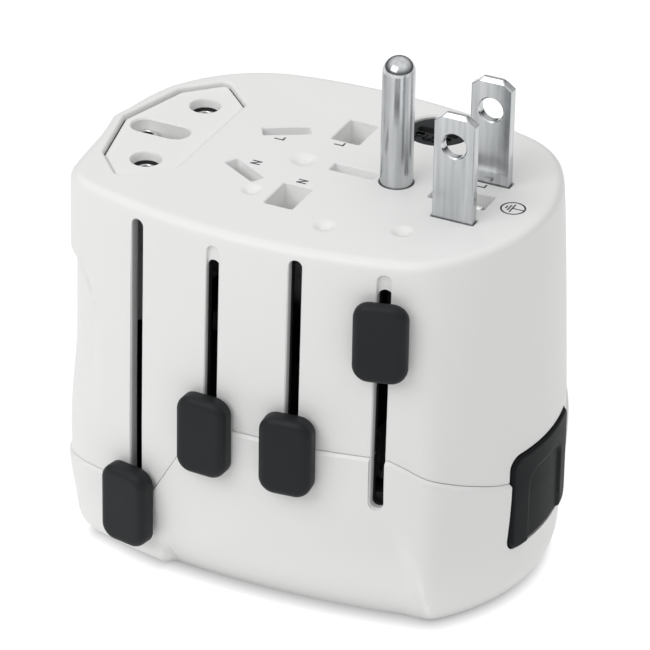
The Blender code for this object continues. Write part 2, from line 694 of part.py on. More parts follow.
def make_bridge(top):
    """The thin steel plate that ties the near and far carriers, in the gap between two other pins."""
    bm = add_box(bmesh.new(), (8.68, 9.18), (-10.6, 10.6), (top - 1.9, top))
    to_object("uk_bridge_plate", bm, "steel", (8.93, 0, top), smooth=False)


def make_aus_slider():
    top = CARRIER_TOP - AUS_TRAVEL
    pads = [
        box_outline(-6.4, -3.4, -21.0, 9.6),
        box_outline(-12.8, -3.9, 4.2, 9.6),
        box_outline(-12.8, -3.9, -9.6, -4.2),
        box_outline(-3.9, 8.36, -1.7, 1.7),
    ]
    carrier = make_carrier("aus", pads, top, (-21.0, -18.2))
    make_aus_pins(carrier, top)
    make_knob("aus")


# ---------------------------------------------------------------- Swiss plug block

def make_swiss_block():
    bottom = BLOCK_TOP - BLOCK_HEIGHT
    outer = inset_outline(BLOCK_OUTLINE, BLOCK_GAP)
    block = to_object("swiss_plug_block", add_prism(bmesh.new(), outer, bottom, BLOCK_TOP), "shell",
                      (SWISS_X, 0, BLOCK_TOP), smooth=False)
    join(block, add_box(bmesh.new(), (-19.2, -17.0), (-8, 10), (bottom, bottom + 2)))
    hollow = add_prism(bmesh.new(), inset_outline(outer, BLOCK_WALL), bottom - 1, BLOCK_TOP - PLATE)
    cut(block, hollow)
    holes = bmesh.new()
    for sign in (-1, 1):
        profile = ((3.0, BLOCK_TOP + 0.5), (2.7, BLOCK_TOP), (2.35, BLOCK_TOP - 1.6), (2.35, BLOCK_TOP - PLATE - 1))
        add_turned(holes, SWISS_X, sign * SWISS_Y, profile, 20)
    slot = rounded_rectangle((SWISS_EARTH_TRAVEL + 4.7) / 2, 2.35, 2.3, 6)
    add_prism(holes, moved(slot, (SWISS_X + SWISS_EARTH_X) / 2, 0), BLOCK_TOP - PLATE - 1, BLOCK_TOP + 1)
    return cut(block, holes)


def make_swiss_slider():
    x, knob_z, *_ = SLIDERS["swiss"]
    top, low = SWISS_CARRIER_TOP, SWISS_CARRIER_TOP - 2.0
    plate = inset_outline(BLOCK_OUTLINE, BLOCK_GAP + BLOCK_WALL + GAP)
    carrier = to_object("swiss_carrier", add_prism(bmesh.new(), plate, low, top), "inner_black",
                        (x, FRONT_Y + 4, top), smooth=False)
    arm_z = (knob_z - STEM_HEIGHT / 2, knob_z + STEM_HEIGHT / 2)
    join(carrier, add_box(bmesh.new(), (-22.9, -20.7), (-6.0, -3.0), (arm_z[0], low + 0.5)))
    join(carrier, add_box(bmesh.new(), (-22.9, -16.6), (-6.0, -3.4), arm_z))
    join(carrier, add_box(bmesh.new(), (-18.8, -16.6), (-20.5, -5.5), arm_z))
    join(carrier, add_box(bmesh.new(), *stem_box("swiss", -20.0)))
    pockets = bmesh.new()
    for sign in (-1, 1):
        add_turned(pockets, SWISS_X, sign * SWISS_Y, ((SWISS_RADIUS + 0.3, top + 1), (SWISS_RADIUS + 0.3, low + 0.8)), 16)
    cut(carrier, pockets)
    for name, sign in (("swiss_line_pin", 1), ("swiss_neutral_pin", -1)):
        to_object(name, swiss_pin(SWISS_X, sign * SWISS_Y, low + 1.1), "brass", (SWISS_X, sign * SWISS_Y, top))
    to_object("swiss_earth_pin", swiss_pin(SWISS_EARTH_X, 0, top + GAP), "brass", (SWISS_EARTH_X, 0, top))
    make_knob("swiss")


def swiss_pin(x, y, low):
    high = BLOCK_TOP - GAP
    profile = ((SWISS_RADIUS, low), (SWISS_RADIUS, high - 1.2), (1.7, high - 0.5), (1.1, high))
    return add_turned(bmesh.new(), x, y, profile, 16)


# ---------------------------------------------------------------- button and lock

def button_prism(grow):
    """A prism through the right wall on the button's rounded outline."""
    middle = 0.5 * (BUTTON_TOP + BUTTON_BOTTOM)
    half = 0.5 * (BUTTON_TOP - BUTTON_BOTTOM)
    outline = rounded_rectangle(BUTTON_HALF_WIDTH + grow, half + grow, BUTTON_CORNER + grow, 4)
    return swept_prism([(y, middle + z) for y, z in outline], 28.0, 45.0, "x")


def make_release_button():
    """A curved pad that stands a little proud of the right side, with a cup for its spring."""
    x, y, radius = SIDE_ARCS[0]
    button = to_object("release_button", button_prism(0.0), "soft_black", (RIGHT_X, 0, BUTTON_TOP))
    outer = radius + DRAFT + BUTTON_PROUD
    combine(button, add_turned(bmesh.new(), x, y, ((outer, -30), (outer, -55)), 72), "INTERSECT")
    inner = radius + DRAFT - BUTTON_THICK
    cut(button, add_turned(bmesh.new(), x, y, ((inner, -31), (inner, -56)), 72))
    join(button, add_box(bmesh.new(), (30.6, 35.2), (-3.6, 3.6), (SPRING_Z - 3.6, SPRING_Z + 3.6)))
    ring = [(3.0 * math.cos(math.pi * i / 8), SPRING_Z + 3.0 * math.sin(math.pi * i / 8)) for i in range(16)]
    return cut(button, swept_prism(ring, 29.0, 34.0, "x"))


def make_lock_plate():
    """The sheet-metal comb behind the slots that the button moves."""
    low, high = -37.4, -36.2
    outline = ((-7.2, -19.5), (20, -19.5), (20, -8.5), (32.7, -8.5), (32.7, -5), (14, -5), (14, -16.5), (-7.2, -16.5))
    plate = to_object("lock_plate", add_prism(bmesh.new(), outline, low, high), "steel", (RIGHT_X, 0, high), smooth=False)
    for name in ("aus", "uk", "us"):
        x = SLIDERS[name][0] - 2.1
        join(plate, add_box(bmesh.new(), (x, x + 0.6), (-19.5, -18.4), (low + 0.4, -34.2)))
    return plate


def make_lock_spring():
    """A compression spring along X, between the inner frame and the button's cup."""
    start, end, turns, steps, sides, wire = 24.0, 32.2, 5, 10, 5, 0.3
    rings = []
    for i in range(turns * steps + 1):
        angle = 2 * math.pi * i / steps
        x = start + wire + (end - start - 2 * wire) * i / (turns * steps)
        ring = []
        for j in range(sides):
            turn = 2 * math.pi * j / sides
            radius = SPRING_RADIUS + wire * math.cos(turn)
            ring.append((x + wire * math.sin(turn), radius * math.cos(angle), SPRING_Z + radius * math.sin(angle)))
        rings.append(ring)
    return to_object("lock_spring", add_rings(bmesh.new(), rings), "steel", (start, 0, SPRING_Z))


# ---------------------------------------------------------------- socket side

def socket_outline(grow):
    middle = 0.5 * (SOCKET_FRONT + SOCKET_BACK)
    half = 0.5 * (SOCKET_BACK - SOCKET_FRONT)
    outline = rounded_rectangle(SOCKET_HALF_WIDTH + grow, half + grow, SOCKET_CORNER + grow, 5)
    return moved(outline, 0, middle)


def socket_windows(bm, low, high):
    near, far, half = PIN_WINDOW
    for sign in (-1, 1):
        low_x, high_x = sorted((sign * near, sign * far))
        add_box(bm, (low_x, high_x), (SOCKET_LINE_Y - half, SOCKET_LINE_Y + half), (low, high))
    half_x, front, back = EARTH_WINDOW
    add_box(bm, (-half_x, half_x), (front, back), (low, high))
    return bm


def make_socket_plate():
    top = -CASE_HEIGHT + SOCKET_THICK
    plate = to_object("socket_plate", add_prism(bmesh.new(), socket_outline(0), -CASE_HEIGHT, top), "shell")
    return cut(plate, socket_windows(bmesh.new(), -CASE_HEIGHT - 1, top + 1))


def make_shutter():
    """The plate that closes the two current windows until an earth pin pushes its ramp."""
    top, low = -54.2, -55.5
    bm = add_box(bmesh.new(), (-15.2, 15.2), (SOCKET_LINE_Y - 2.9, SOCKET_LINE_Y + 2.9), (low, top))
    shutter = to_object("socket_shutter", bm, "inner_white", (0, SOCKET_LINE_Y, low), smooth=False)
    ramp = swept_prism(((SOCKET_LINE_Y + 2.4, low), (7.4, top - 0.4), (7.4, top), (SOCKET_LINE_Y + 2.4, top)), -1.6, 1.6, "x")
    return join(shutter, ramp)


def folded_contact(name, across, along, low, high, thick, axis, material="brass"):
    """A sheet contact folded into an upside-down channel that grips a pin between its two leaves."""
    middle, half = across
    outline = [(middle - half, low), (middle - half + thick, low), (middle - half + thick, high - thick),
               (middle + half - thick, high - thick), (middle + half - thick, low), (middle + half, low),
               (middle + half, high), (middle - half, high)]
    bm = swept_prism(outline, *along, axis)
    return to_object(name, bm, material, smooth=False)


def strip_outline(points, thick):
    """A thin strip's outline in a plane, from a path with square bends."""
    one, other = [], []
    for i, (a, z) in enumerate(points):
        before = points[max(0, i - 1)]
        after = points[min(len(points) - 1, i + 1)]
        first = (math.copysign(1, a - before[0]) if a != before[0] else 0, math.copysign(1, z - before[1]) if z != before[1] else 0)
        second = (math.copysign(1, after[0] - a) if after[0] != a else 0, math.copysign(1, after[1] - z) if after[1] != z else 0)
        if i == 0:
            first = second
        if i == len(points) - 1:
            second = first
        nx = -(first[1] + second[1]) if first != second else -first[1]
        nz = first[0] + second[0] if first != second else first[0]
        one.append((a + nx * thick / 2, z + nz * thick / 2))
        other.append((a - nx * thick / 2, z - nz * thick / 2))
    return one + other[::-1]


def make_contacts():
    top = -45.9
    folded_contact("line_contact", (SOCKET_LINE_Y, 2.6), (4.0, 15.0), -53.6, top, 0.7, "x")
    folded_contact("neutral_contact", (SOCKET_LINE_Y, 2.6), (-15.0, -4.0), -53.6, top, 0.7, "x")
    folded_contact("earth_contact", (0.0, 4.4), (6.2, 20.6), -53.6, top, 0.7, "y")
    line = strip_outline(((FUSE_Y, -31.6), (FUSE_Y, -42.6), (SOCKET_LINE_Y, -42.6), (SOCKET_LINE_Y, top + GAP)), 0.8)
    to_object("line_bus_bar", swept_prism(line, 8.9, 12.5, "x"), "brass", smooth=False)
    neutral = strip_outline(((12.8, -10.0), (12.8, -42.6), (SOCKET_LINE_Y, -42.6), (SOCKET_LINE_Y, top + GAP)), 0.8)
    to_object("neutral_bus_bar", swept_prism(neutral, -12.5, -8.9, "x"), "brass", smooth=False)
    earth = strip_outline(((18.6, -10.0), (18.6, top + GAP)), 0.8)
    to_object("earth_bus_bar", swept_prism(earth, -2.0, 2.0, "x"), "brass", smooth=False)


def make_inner_frame():
    """The insulating deck between the pin chamber and the socket chamber."""
    high, low = -38.4, -40.6
    ring = [(x, y) for x, y, _ in case_ring(-38.4, WALL + GAP)]
    frame = to_object("inner_frame", add_prism(bmesh.new(), ring, low, high), "inner_black", smooth=False)
    join(frame, add_box(bmesh.new(), (20.6, 23.6), (-3.5, 3.5), (-47.5, low + 1)))
    holes = bmesh.new()
    for x, y in SCREWS:
        add_turned(holes, x, y, ((3.0 + GAP, low - 1), (3.0 + GAP, high + 1)), 16)
    add_box(holes, (-23.6, -16.1), (-30.0, -2.2), (low - 1, high + 1))
    add_box(holes, (30.2, 50.0), (-10.5, 10.5), (low - 1, high + 1))
    add_box(holes, (8.5, 12.9), (FUSE_Y - 0.8, FUSE_Y + 0.8), (low - 1, high + 1))
    add_box(holes, (-12.9, -8.5), (12.0, 13.6), (low - 1, high + 1))
    add_box(holes, (-2.4, 2.4), (17.8, 19.4), (low - 1, high + 1))
    return cut(frame, holes)


# ---------------------------------------------------------------- fuse

def make_fuse():
    cap = to_object("fuse_cap", add_turned(bmesh.new(), FUSE_X, FUSE_Y, (
        (FUSE_CAP_RADIUS, -0.1), (FUSE_CAP_RADIUS, -1.3), (3.6, -1.3), (3.6, -3.4)), 24), "soft_black",
        (FUSE_X, FUSE_Y, 0))
    cut(cap, add_prism(bmesh.new(), moved(rectangle(5.6, 1.1), FUSE_X, FUSE_Y, math.radians(10)), -0.9, 1))
    top, bottom = -3.8, -29.2
    to_object("fuse", add_turned(bmesh.new(), FUSE_X, FUSE_Y, (
        (FUSE_RADIUS, top), (FUSE_RADIUS, top - 5), (2.9, top - 5), (2.9, bottom + 5), (FUSE_RADIUS, bottom + 5),
        (FUSE_RADIUS, bottom)), 20), "ceramic", (FUSE_X, FUSE_Y, top))
    to_object("fuse_clip", add_turned(bmesh.new(), FUSE_X, FUSE_Y, (
        (FUSE_RADIUS + 0.9, -23.5), (FUSE_RADIUS + 0.9, -31.2), (0.5, -31.2), (0.5, -29.6), (FUSE_RADIUS + 0.35, -29.6),
        (FUSE_RADIUS + 0.35, -23.5)), 20), "brass", smooth=True)


clear_scene()
FRAME = make_frame()
MATERIALS = {name: make_material(name) for name in COLOURS}
make_upper_housing()
make_lower_housing()
make_screws()
make_us_slider()
make_uk_slider()
make_aus_slider()
make_swiss_block()
make_swiss_slider()
make_release_button()
make_lock_plate()
make_lock_spring()
make_socket_plate()
make_shutter()
make_contacts()
make_inner_frame()
make_fuse()
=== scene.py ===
"""Universal travel adapter: finished shapes, materials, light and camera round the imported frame.

Lengths are in millimetres in the plug-face frame. X runs along the slider face, Y into the case and Z up,
with X = Y = 0 midway between the UK live and neutral pins, and Z = 0 on the plug face.
"""

import math

import bmesh
import bpy
import numpy as np
from mathutils import Matrix, Vector


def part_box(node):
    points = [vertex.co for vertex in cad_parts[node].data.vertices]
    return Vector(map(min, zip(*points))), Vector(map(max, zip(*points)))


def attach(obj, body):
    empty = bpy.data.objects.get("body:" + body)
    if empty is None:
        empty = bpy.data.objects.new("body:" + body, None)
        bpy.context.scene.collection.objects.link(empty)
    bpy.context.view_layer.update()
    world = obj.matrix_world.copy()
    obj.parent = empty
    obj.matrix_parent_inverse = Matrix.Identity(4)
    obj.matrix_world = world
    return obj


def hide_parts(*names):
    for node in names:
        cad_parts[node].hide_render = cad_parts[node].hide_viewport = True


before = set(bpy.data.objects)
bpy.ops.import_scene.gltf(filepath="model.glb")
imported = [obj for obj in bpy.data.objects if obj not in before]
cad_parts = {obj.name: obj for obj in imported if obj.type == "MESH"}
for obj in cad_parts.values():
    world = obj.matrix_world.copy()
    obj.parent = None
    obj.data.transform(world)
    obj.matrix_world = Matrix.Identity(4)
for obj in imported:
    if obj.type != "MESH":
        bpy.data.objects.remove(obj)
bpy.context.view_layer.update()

MM = 0.001

# Where the plug-face frame stands in the row frame
US_GROUND_X = 11.89
GROUND_LOW, GROUND_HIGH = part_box("us_ground_pin")
PLUG_FACE = Vector((
    0.5 * (GROUND_LOW.x + GROUND_HIGH.x) - US_GROUND_X * MM,
    0.5 * (GROUND_LOW.y + GROUND_HIGH.y),
    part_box("upper_housing")[1].z,
))

# Case: four long arcs in plan, as centre and radius, with a corner arc between each two
CASE_HEIGHT = 60.0
SIDE_ARCS = ((5.5, 0.5, 30.0), (-1.0, -53.7, 80.0), (86.6, 0.0, 120.0), (-1.0, 62.3, 88.0))
CORNER_RADII = (14.0, 22.0, 7.0, 8.0)
TOP_ROUND, FACET = 1.5, 0.8
WALL, PLATE = 2.0, 2.5

# Sides: they lean out by the draft, less on the front, and draw in towards the foot, less on the right
DRAFT, FRONT_DRAFT, DRAFT_DEPTH, DRAFT_POWER = 1.6, 0.9, 34.0, 0.8
FRONT_FROM, FRONT_BLEND = 0.7, 0.25
TAPER, RIGHT_TAPER, TAPER_HEIGHT = 1.2, 0.65, 16.0
BOTTOM_ROUND, ROUND_SHARE, RIGHT_ROUND_SHARE = 4.0, 0.65, 0.4

# Parting line, as its height by X. The lower housing stands proud there by the ledge
PARTING = (
    (-60, -46.4), (-15.1, -46.1), (-14.2, -45.5), (-6.4, -31.95), (-5.5, -31.35), (8.0, -31.5),
    (20.6, -31.5), (22.4, -31.8), (24.4, -32.7), (26.7, -34.3), (28.9, -35.7), (31.3, -37.3),
    (33.4, -39.0), (35.5, -40.5), (60, -40.8),
)
PARTING_GAP, PARTING_EDGE = 0.08, 0.12
PARTING_LEDGE, LEDGE_FADE = 0.42, 12.0
SPLIT_Z, WARP_TOP, WARP_FOOT = -42.0, -20.0, -56.0

# Hollow for the fingers on the left side
GRIP_DEPTH = 0.95
GRIP_TOP, GRIP_DROP, GRIP_FOOT = -12.0, 12.1, -42.0
GRIP_EDGE_X, GRIP_WIDTH = -24.2, 5.6
GRIP_CREASE_WIDTH, GRIP_END_FADE = 2.0, 0.45

# Scoop in the foot of the slider face
SCOOP_LEFT, SCOOP_RIGHT = -12.2, 23.6
SCOOP_LEFT_LEAN, SCOOP_RIGHT_LEAN = 0.15, 0.22
SCOOP_CREASE_Z, SCOOP_CREASE_SLOPE = -48.2, 0.256
SCOOP_FOOT_Y, SCOOP_FOOT_SLOPE = -20.25, 0.058
SCOOP_BOW, SCOOP_MIDDLE, SCOOP_HALF = 1.3, 5.5, 18.0
SCOOP_BLEND, SCOOP_RIGHT_BLEND = 1.4, 3.2
SCOOP_EDGE, SCOOP_INNER_EDGE = 0.9, 0.1

# Plug pins: places on the plug face, blades and holes as (along X, along Y), and the heights of foot and tip
UK_PITCH, UK_EARTH_X = 11.115, 22.23
UK_BLADE, UK_EARTH_BLADE = (3.97, 6.35), (7.97, 3.97)
UK_HOLE, UK_EARTH_HOLE = (4.5, 6.9), (8.8, 4.5)
UK_LOW, UK_TIP, UK_EARTH_TIP = -27.7, -5.3, -1.2
AUS_X, AUS_Y, AUS_EARTH_X = -9.08, 6.86, 5.19
AUS_BLADE, AUS_HOLE = (6.35, 1.6), (7.05, 2.3)
AUS_SLANT = math.radians(30)
AUS_LOW, AUS_TIP, AUS_EARTH_TIP = -25.1, -3.3, -1.7
US_BLADE_X, US_PITCH = 23.9, 6.35
US_BLADE, US_HOLE = (6.35, 1.52), (6.75, 1.95)
US_LOW, US_TIP = -4.7, 16.7
US_EYE_RADIUS, US_EYE_HEIGHT, US_EYE_RIM = 1.85, 11.8, 0.2
US_GROUND_RADIUS, US_GROUND_LOW, US_GROUND_TIP = 2.4, -4.75, 20.1
SWISS_X, SWISS_Y, SWISS_EARTH_X = -23.83, 9.5, -28.83
SWISS_RADIUS, SWISS_ROUND = 2.0, 0.6
SWISS_LOW, SWISS_EARTH_LOW, SWISS_SUNK = -23.2, -22.0, 1.55

# Sliders: slot X, knob centre Z, slot top Z, slot bottom Z, top of the shallow pocket, and how far the
# knob's front stands out from the plan outline. A slot's wall is painted grey as shade from 0.4 mm in to the
# depth given in SLOT_WALLS, and black as shade past it
SLOT_WIDTH, SLOT_CHAMFER, SLOT_DEPTH = 2.0, 0.12, 9.0
SLOT_WALLS = {"swiss": 2.2, "aus": 0.9, "uk": 1.1, "us": 1.1}
POCKET_DEPTH = 0.6
SLIDERS = {
    "swiss": (-17.6, -48.4, -2.0, -53.5, None, 4.25),
    "aus": (-4.75, -32.2, -4.8, -38.5, -2.4, 4.1),
    "uk": (8.05, -32.1, -1.7, -38.5, None, 4.2),
    "us": (20.85, -11.7, -4.4, -39.8, -2.0, 3.25),
}
KNOB_WIDTH, KNOB_HEIGHT, KNOB_CORNER = 8.05, 12.6, 2.45
KNOB_BEVEL, KNOB_BACK_EDGE, KNOB_CROWN = 1.1, 0.25, 0.015
CLEARANCE, KNOB_CLEARANCE = 0.3, 0.55

# Swiss plug block, and the bulge of the case round its bay
BLOCK_OUTLINE = ((-18.2, -10.8), (-18.2, 11.8), (-24.0, 17.4), (-29.3, 12.0), (-32.6, 0.4), (-30.0, -11.2),
                 (-24.8, -16.9))
BLOCK_TOP, BLOCK_HEIGHT, BLOCK_GAP, BLOCK_PLATE = -0.6, 24.0, 0.17, 2.5
BLOCK_CORNER, BLOCK_HOLLOW_INSET = 1.2, 1.45
BLOCK_SLOT, BLOCK_SLOT_CORNER = (9.3, 4.3), 2.1
BAY_EDGE, BAY_LOW = 0.4, -27.0
BULGE, BULGE_SOFTNESS = 2.0, 0.8
BULGE_RIGHT, BULGE_FOOT = -15.0, -44.0
BULGE_LOSS, BULGE_FADE_TOP, BULGE_FADE_HEIGHT = 3.0, -24.0, 18.0

# Fuse cap, the guides under the UK holes, and the (x, y, radius) of the plug face's dimples
FUSE_X, FUSE_Y, FUSE_CAP_RADIUS = 10.7, 17.3, 4.6
GUIDE_HALF_X, GUIDE_HALF_Y, GUIDE_LOW = 2.85, 4.05, -4.5
DIMPLES = ((-2.9, -0.1, 2.3), (-5.5, -11.8, 1.8), (8.5, -16.8, 1.9), (19.0, -13.2, 1.9))
DIMPLE_DEPTH, DIMPLE_SLOPE = 0.42, 1.25

# Release button, with its finger hollow
BUTTON_HALF_WIDTH, BUTTON_TOP, BUTTON_BOTTOM = 9.3, -35.5, -51.0
BUTTON_PROUD, BUTTON_THICK, BUTTON_CORNER, BUTTON_EDGE = 0.45, 2.0, 1.8, 0.5
BUTTON_HOLLOW_HALF, BUTTON_HOLLOW_TOP, BUTTON_HOLLOW_CORNER = 5.2, -39.2, 2.6
BUTTON_HOLLOW_DEPTH, BUTTON_HOLLOW_EDGE = 0.5, 1.0

# Socket side: the plate, its windows as (along X, along Y, x, y), and the screw wells
SOCKET_SIZE, SOCKET_Y, SOCKET_CORNER, SOCKET_TOP = (31.8, 33.7), 5.35, 11.0, -55.8
WINDOWS = ((10.2, 5.0, 9.5, -3.5), (10.2, 5.0, -9.5, -3.5), (8.6, 14.9, 0, 13.35))
SCREWS = ((25.0, 14.5), (25.6, -12.6), (-17.2, 19.5), (-12.6, -16.8))
SCREW_WELL = 2.65

# Marks: each letter's strokes at height one, the polarity letters' places, the earth sign and the cap's word
LETTERS = {
    "L": ((0, 1), (0, 0), (0.6, 0)),
    "N": ((0, 0), (0, 1), (0.7, 0), (0.7, 1)),
    "F": ((0, 0), (0, 1), (0.6, 1), (0, 1), (0, 0.5), (0.5, 0.5)),
    "U": ((0, 1), (0, 0.15), (0.15, 0), (0.5, 0), (0.65, 0.15), (0.65, 1)),
    "S": ((0.6, 0.9), (0.45, 1), (0.15, 1), (0, 0.85), (0, 0.65), (0.6, 0.4), (0.6, 0.15), (0.45, 0),
          (0.15, 0), (0, 0.1)),
    "E": ((0.6, 0), (0, 0), (0, 1), (0.6, 1), (0, 1), (0, 0.5), (0.5, 0.5)),
}
POLARITY = (("L", -8.9, 4.35), ("N", -8.6, -4.15), ("N", -0.1, -6.35), ("L", -0.35, 6.75), ("L", 23.35, 4.45))
POLARITY_HEIGHT, POLARITY_STROKE = 1.25, 0.27
EARTH_MARK, EARTH_MARK_RADIUS, EARTH_STROKE = (30.2, 0.2), 1.75, 0.24
EARTH_BARS = ((-0.1, 1.05), (-0.55, 0.7), (-1.0, 0.3))
INK_LOW, INK_HIGH = -0.05, 0.015
CAP_WORD, CAP_WORD_HEIGHT, CAP_WORD_PITCH, CAP_WORD_STROKE = "FUSE", 1.5, 1.4, 0.3
CAP_WORD_LOW, CAP_WORD_HIGH = -0.4, -0.12

# Camera, in the photograph's viewing direction
CAMERA_AZIMUTH, CAMERA_ELEVATION = math.radians(25.2724), math.radians(29.7076)
CAMERA_ROLL = math.radians(1.02)
CAMERA_PLACE = (274.576, -579.639, 338.990)
CAMERA_LENS, CAMERA_SENSOR = 276.92, 36.0

# Light: the brightness overhead and the height it is reached at, and the softbox, in metres and watts
WORLD_LIGHT, WORLD_HEIGHT = 1.04, 0.8
KEY_PLACE, KEY_AIM, KEY_SIZE, KEY_POWER = (-0.29, -0.81, 0.73), (0, 0, 0.04), (0.9, 0.7), 4.5

# Floor: its glow, painted light that also lights the object, by the distance in metres from the object's
# middle towards the camera, and the painted contact shadow round the foot, which starts inside it and is
# narrower behind the object
FLOOR_REACH = 0.2
FLOOR_GLOW = ((0.037, 0.83), (0.048, 0.56), (0.1, 0.6), (0.13, 0.98))
FLOOR_DARK, FLOOR_FADE, FLOOR_FADE_BEHIND = -1.55, 5.6, 0.45
FLOOR_START, FLOOR_RINGS = -3.0, (20.0, 60.0, 200.0, 3000.0)
CARD_SIZE, CARD_PLACE, CARD_TURN = (96, 46), (50, -137), math.radians(16)

# Materials of the imported nodes that the scene keeps. The carriers and the inner frame are painted black as
# shade
NODE_MATERIALS = {
    "painted_shade_black": ("us_carrier", "uk_carrier", "uk_far_carrier", "aus_carrier", "swiss_carrier", "inner_frame"),
    "inner": ("socket_shutter",),
    "brass": ("line_contact", "neutral_contact", "earth_contact", "line_bus_bar", "neutral_bus_bar",
              "earth_bus_bar", "fuse_clip"),
    "steel": ("uk_bridge_plate", "lock_plate", "lock_spring", "case_screw_1", "case_screw_2", "case_screw_3",
              "case_screw_4"),
    "ceramic": ("fuse",),
}


def place(x, y, z):
    return PLUG_FACE + Vector((x, y, z)) * MM


def smooth_step(value):
    value = min(1.0, max(0.0, value))
    return value * value * (3 - 2 * value)


def mix(first, second, share):
    return first + (second - first) * share


def soft_max(first, second, width):
    """The larger of two lengths, rounded over width where they cross."""
    apart = abs(first - second)
    extra = (width - apart) ** 2 / (4 * width) if apart < width else 0.0
    return max(first, second) + extra


# ---------------------------------------------------------------- camera, light and floor

def make_camera():
    azimuth, elevation, roll = CAMERA_AZIMUTH, CAMERA_ELEVATION, CAMERA_ROLL
    back = Vector((math.sin(azimuth) * math.cos(elevation), -math.cos(azimuth) * math.cos(elevation),
                   math.sin(elevation)))
    level = Vector((math.cos(azimuth), math.sin(azimuth), 0))
    up = back.cross(level)
    right = level * math.cos(roll) + up * math.sin(roll)
    upright = up * math.cos(roll) - level * math.sin(roll)
    data = bpy.data.cameras.new("camera")
    data.lens = CAMERA_LENS
    data.sensor_width = CAMERA_SENSOR
    data.clip_start = 0.05
    data.clip_end = 20.0
    camera = bpy.data.objects.new("camera", data)
    rotation = Matrix((right, upright, back)).transposed().to_4x4()
    camera.matrix_world = Matrix.Translation(place(*CAMERA_PLACE)) @ rotation
    bpy.context.scene.collection.objects.link(camera)
    bpy.context.scene.camera = camera


def make_key_light():
    """A softbox in front of the slider face, up and to the left."""
    data = bpy.data.lights.new("key_softbox", "AREA")
    data.shape = "RECTANGLE"
    data.size, data.size_y = KEY_SIZE
    data.energy = KEY_POWER
    light = bpy.data.objects.new("key_softbox", data)
    light.location = KEY_PLACE
    light.rotation_euler = (Vector(KEY_AIM) - Vector(KEY_PLACE)).to_track_quat("-Z", "Y").to_euler()
    bpy.context.scene.collection.objects.link(light)


def make_floor_material():
    """A white floor that glows as painted light, dimmer in the band of it just in front of the object so less
    of that light reaches the object's front, and without glow at the foot as a painted contact shadow.
    """
    material, nodes, links, shader = new_material("floor_painted_light", (0.25, 0.25, 0.25), 0.9)
    shader.inputs["Specular IOR Level"].default_value = 0.0
    shader.inputs["Emission Color"].default_value = (1.0, 1.0, 1.0, 1.0)
    coordinates = nodes.new("ShaderNodeTexCoord")
    along = nodes.new("ShaderNodeVectorMath")
    along.operation = "DOT_PRODUCT"
    along.inputs[1].default_value = (math.sin(CAMERA_AZIMUTH), -math.cos(CAMERA_AZIMUTH), 0.0)
    links.new(coordinates.outputs["Object"], along.inputs[0])
    reach = nodes.new("ShaderNodeMapRange")
    reach.inputs["From Max"].default_value = FLOOR_REACH
    links.new(along.outputs["Value"], reach.inputs["Value"])
    # painted light: the floor's glow by the distance towards the camera
    ramp = nodes.new("ShaderNodeValToRGB")
    links.new(reach.outputs["Result"], ramp.inputs["Fac"])
    steps = ramp.color_ramp.elements
    while len(steps) < len(FLOOR_GLOW):
        steps.new(1.0)
    for step, (distance, glow) in zip(steps, FLOOR_GLOW):
        step.position = distance / FLOOR_REACH
        step.color = (glow, glow, glow, 1.0)
    # painted contact shadow: the glow is multiplied by a vertex value that is nothing at the foot
    painted_contact_shadow = nodes.new("ShaderNodeAttribute")
    painted_contact_shadow.attribute_name = "glow"
    product = nodes.new("ShaderNodeMath")
    product.operation = "MULTIPLY"
    links.new(ramp.outputs["Color"], product.inputs[0])
    links.new(painted_contact_shadow.outputs["Fac"], product.inputs[1])
    links.new(product.outputs["Value"], shader.inputs["Emission Strength"])
    return material


def make_floor():
    """The floor, in rings round the foot of the case, with a glow that fades to nothing at the foot as a
    painted contact shadow.
    """
    bm = bmesh.new()
    glow = bm.verts.layers.float.new("glow")
    around = stations(FACET)
    foot = case_ring(around, -CASE_HEIGHT, 0.0)
    fading = [FLOOR_DARK + FLOOR_FADE * k / 12 for k in range(13)]
    rows = []
    for grow in (FLOOR_START, *fading, *FLOOR_RINGS):
        row = []
        for (x, y, _), (_, _, _, angle) in zip(foot, around):
            point = (x + grow * math.cos(angle), y + grow * math.sin(angle), 0.0)
            vertex = bm.verts.new(Vector(point) * MM)
            facing = max(0.0, math.sin(CAMERA_AZIMUTH - angle))
            fade = FLOOR_FADE * mix(FLOOR_FADE_BEHIND, 1.0, facing)
            # painted contact shadow: the glow's share, nothing near the foot and full past the fade
            vertex[glow] = min(1.0, max(0.0, grow - FLOOR_DARK) / fade)
            row.append(vertex)
        rows.append(row)
    bm.faces.new(rows[0])
    for low, high in zip(rows, rows[1:]):
        for i in range(len(around)):
            bm.faces.new((low[i], high[i], high[i - 1], low[i - 1]))
    bmesh.ops.recalc_face_normals(bm, faces=bm.faces)
    mesh = bpy.data.meshes.new("floor")
    bm.to_mesh(mesh)
    bm.free()
    floor = bpy.data.objects.new("floor", mesh)
    floor.location = (PLUG_FACE.x, PLUG_FACE.y, 0.0)
    bpy.context.scene.collection.objects.link(floor)
    mesh.materials.append(make_floor_material())


def make_dark_card():
    """A dark card lying on the floor, out of view, for the metal to reflect."""
    bm = bmesh.new()
    outline = box_outline(*CARD_SIZE, *CARD_PLACE, CARD_TURN)
    bm.faces.new([bm.verts.new((x, y, -CASE_HEIGHT + 1.0)) for x, y in outline])
    to_object("dark_card", bm, ["painted_shade_black"])


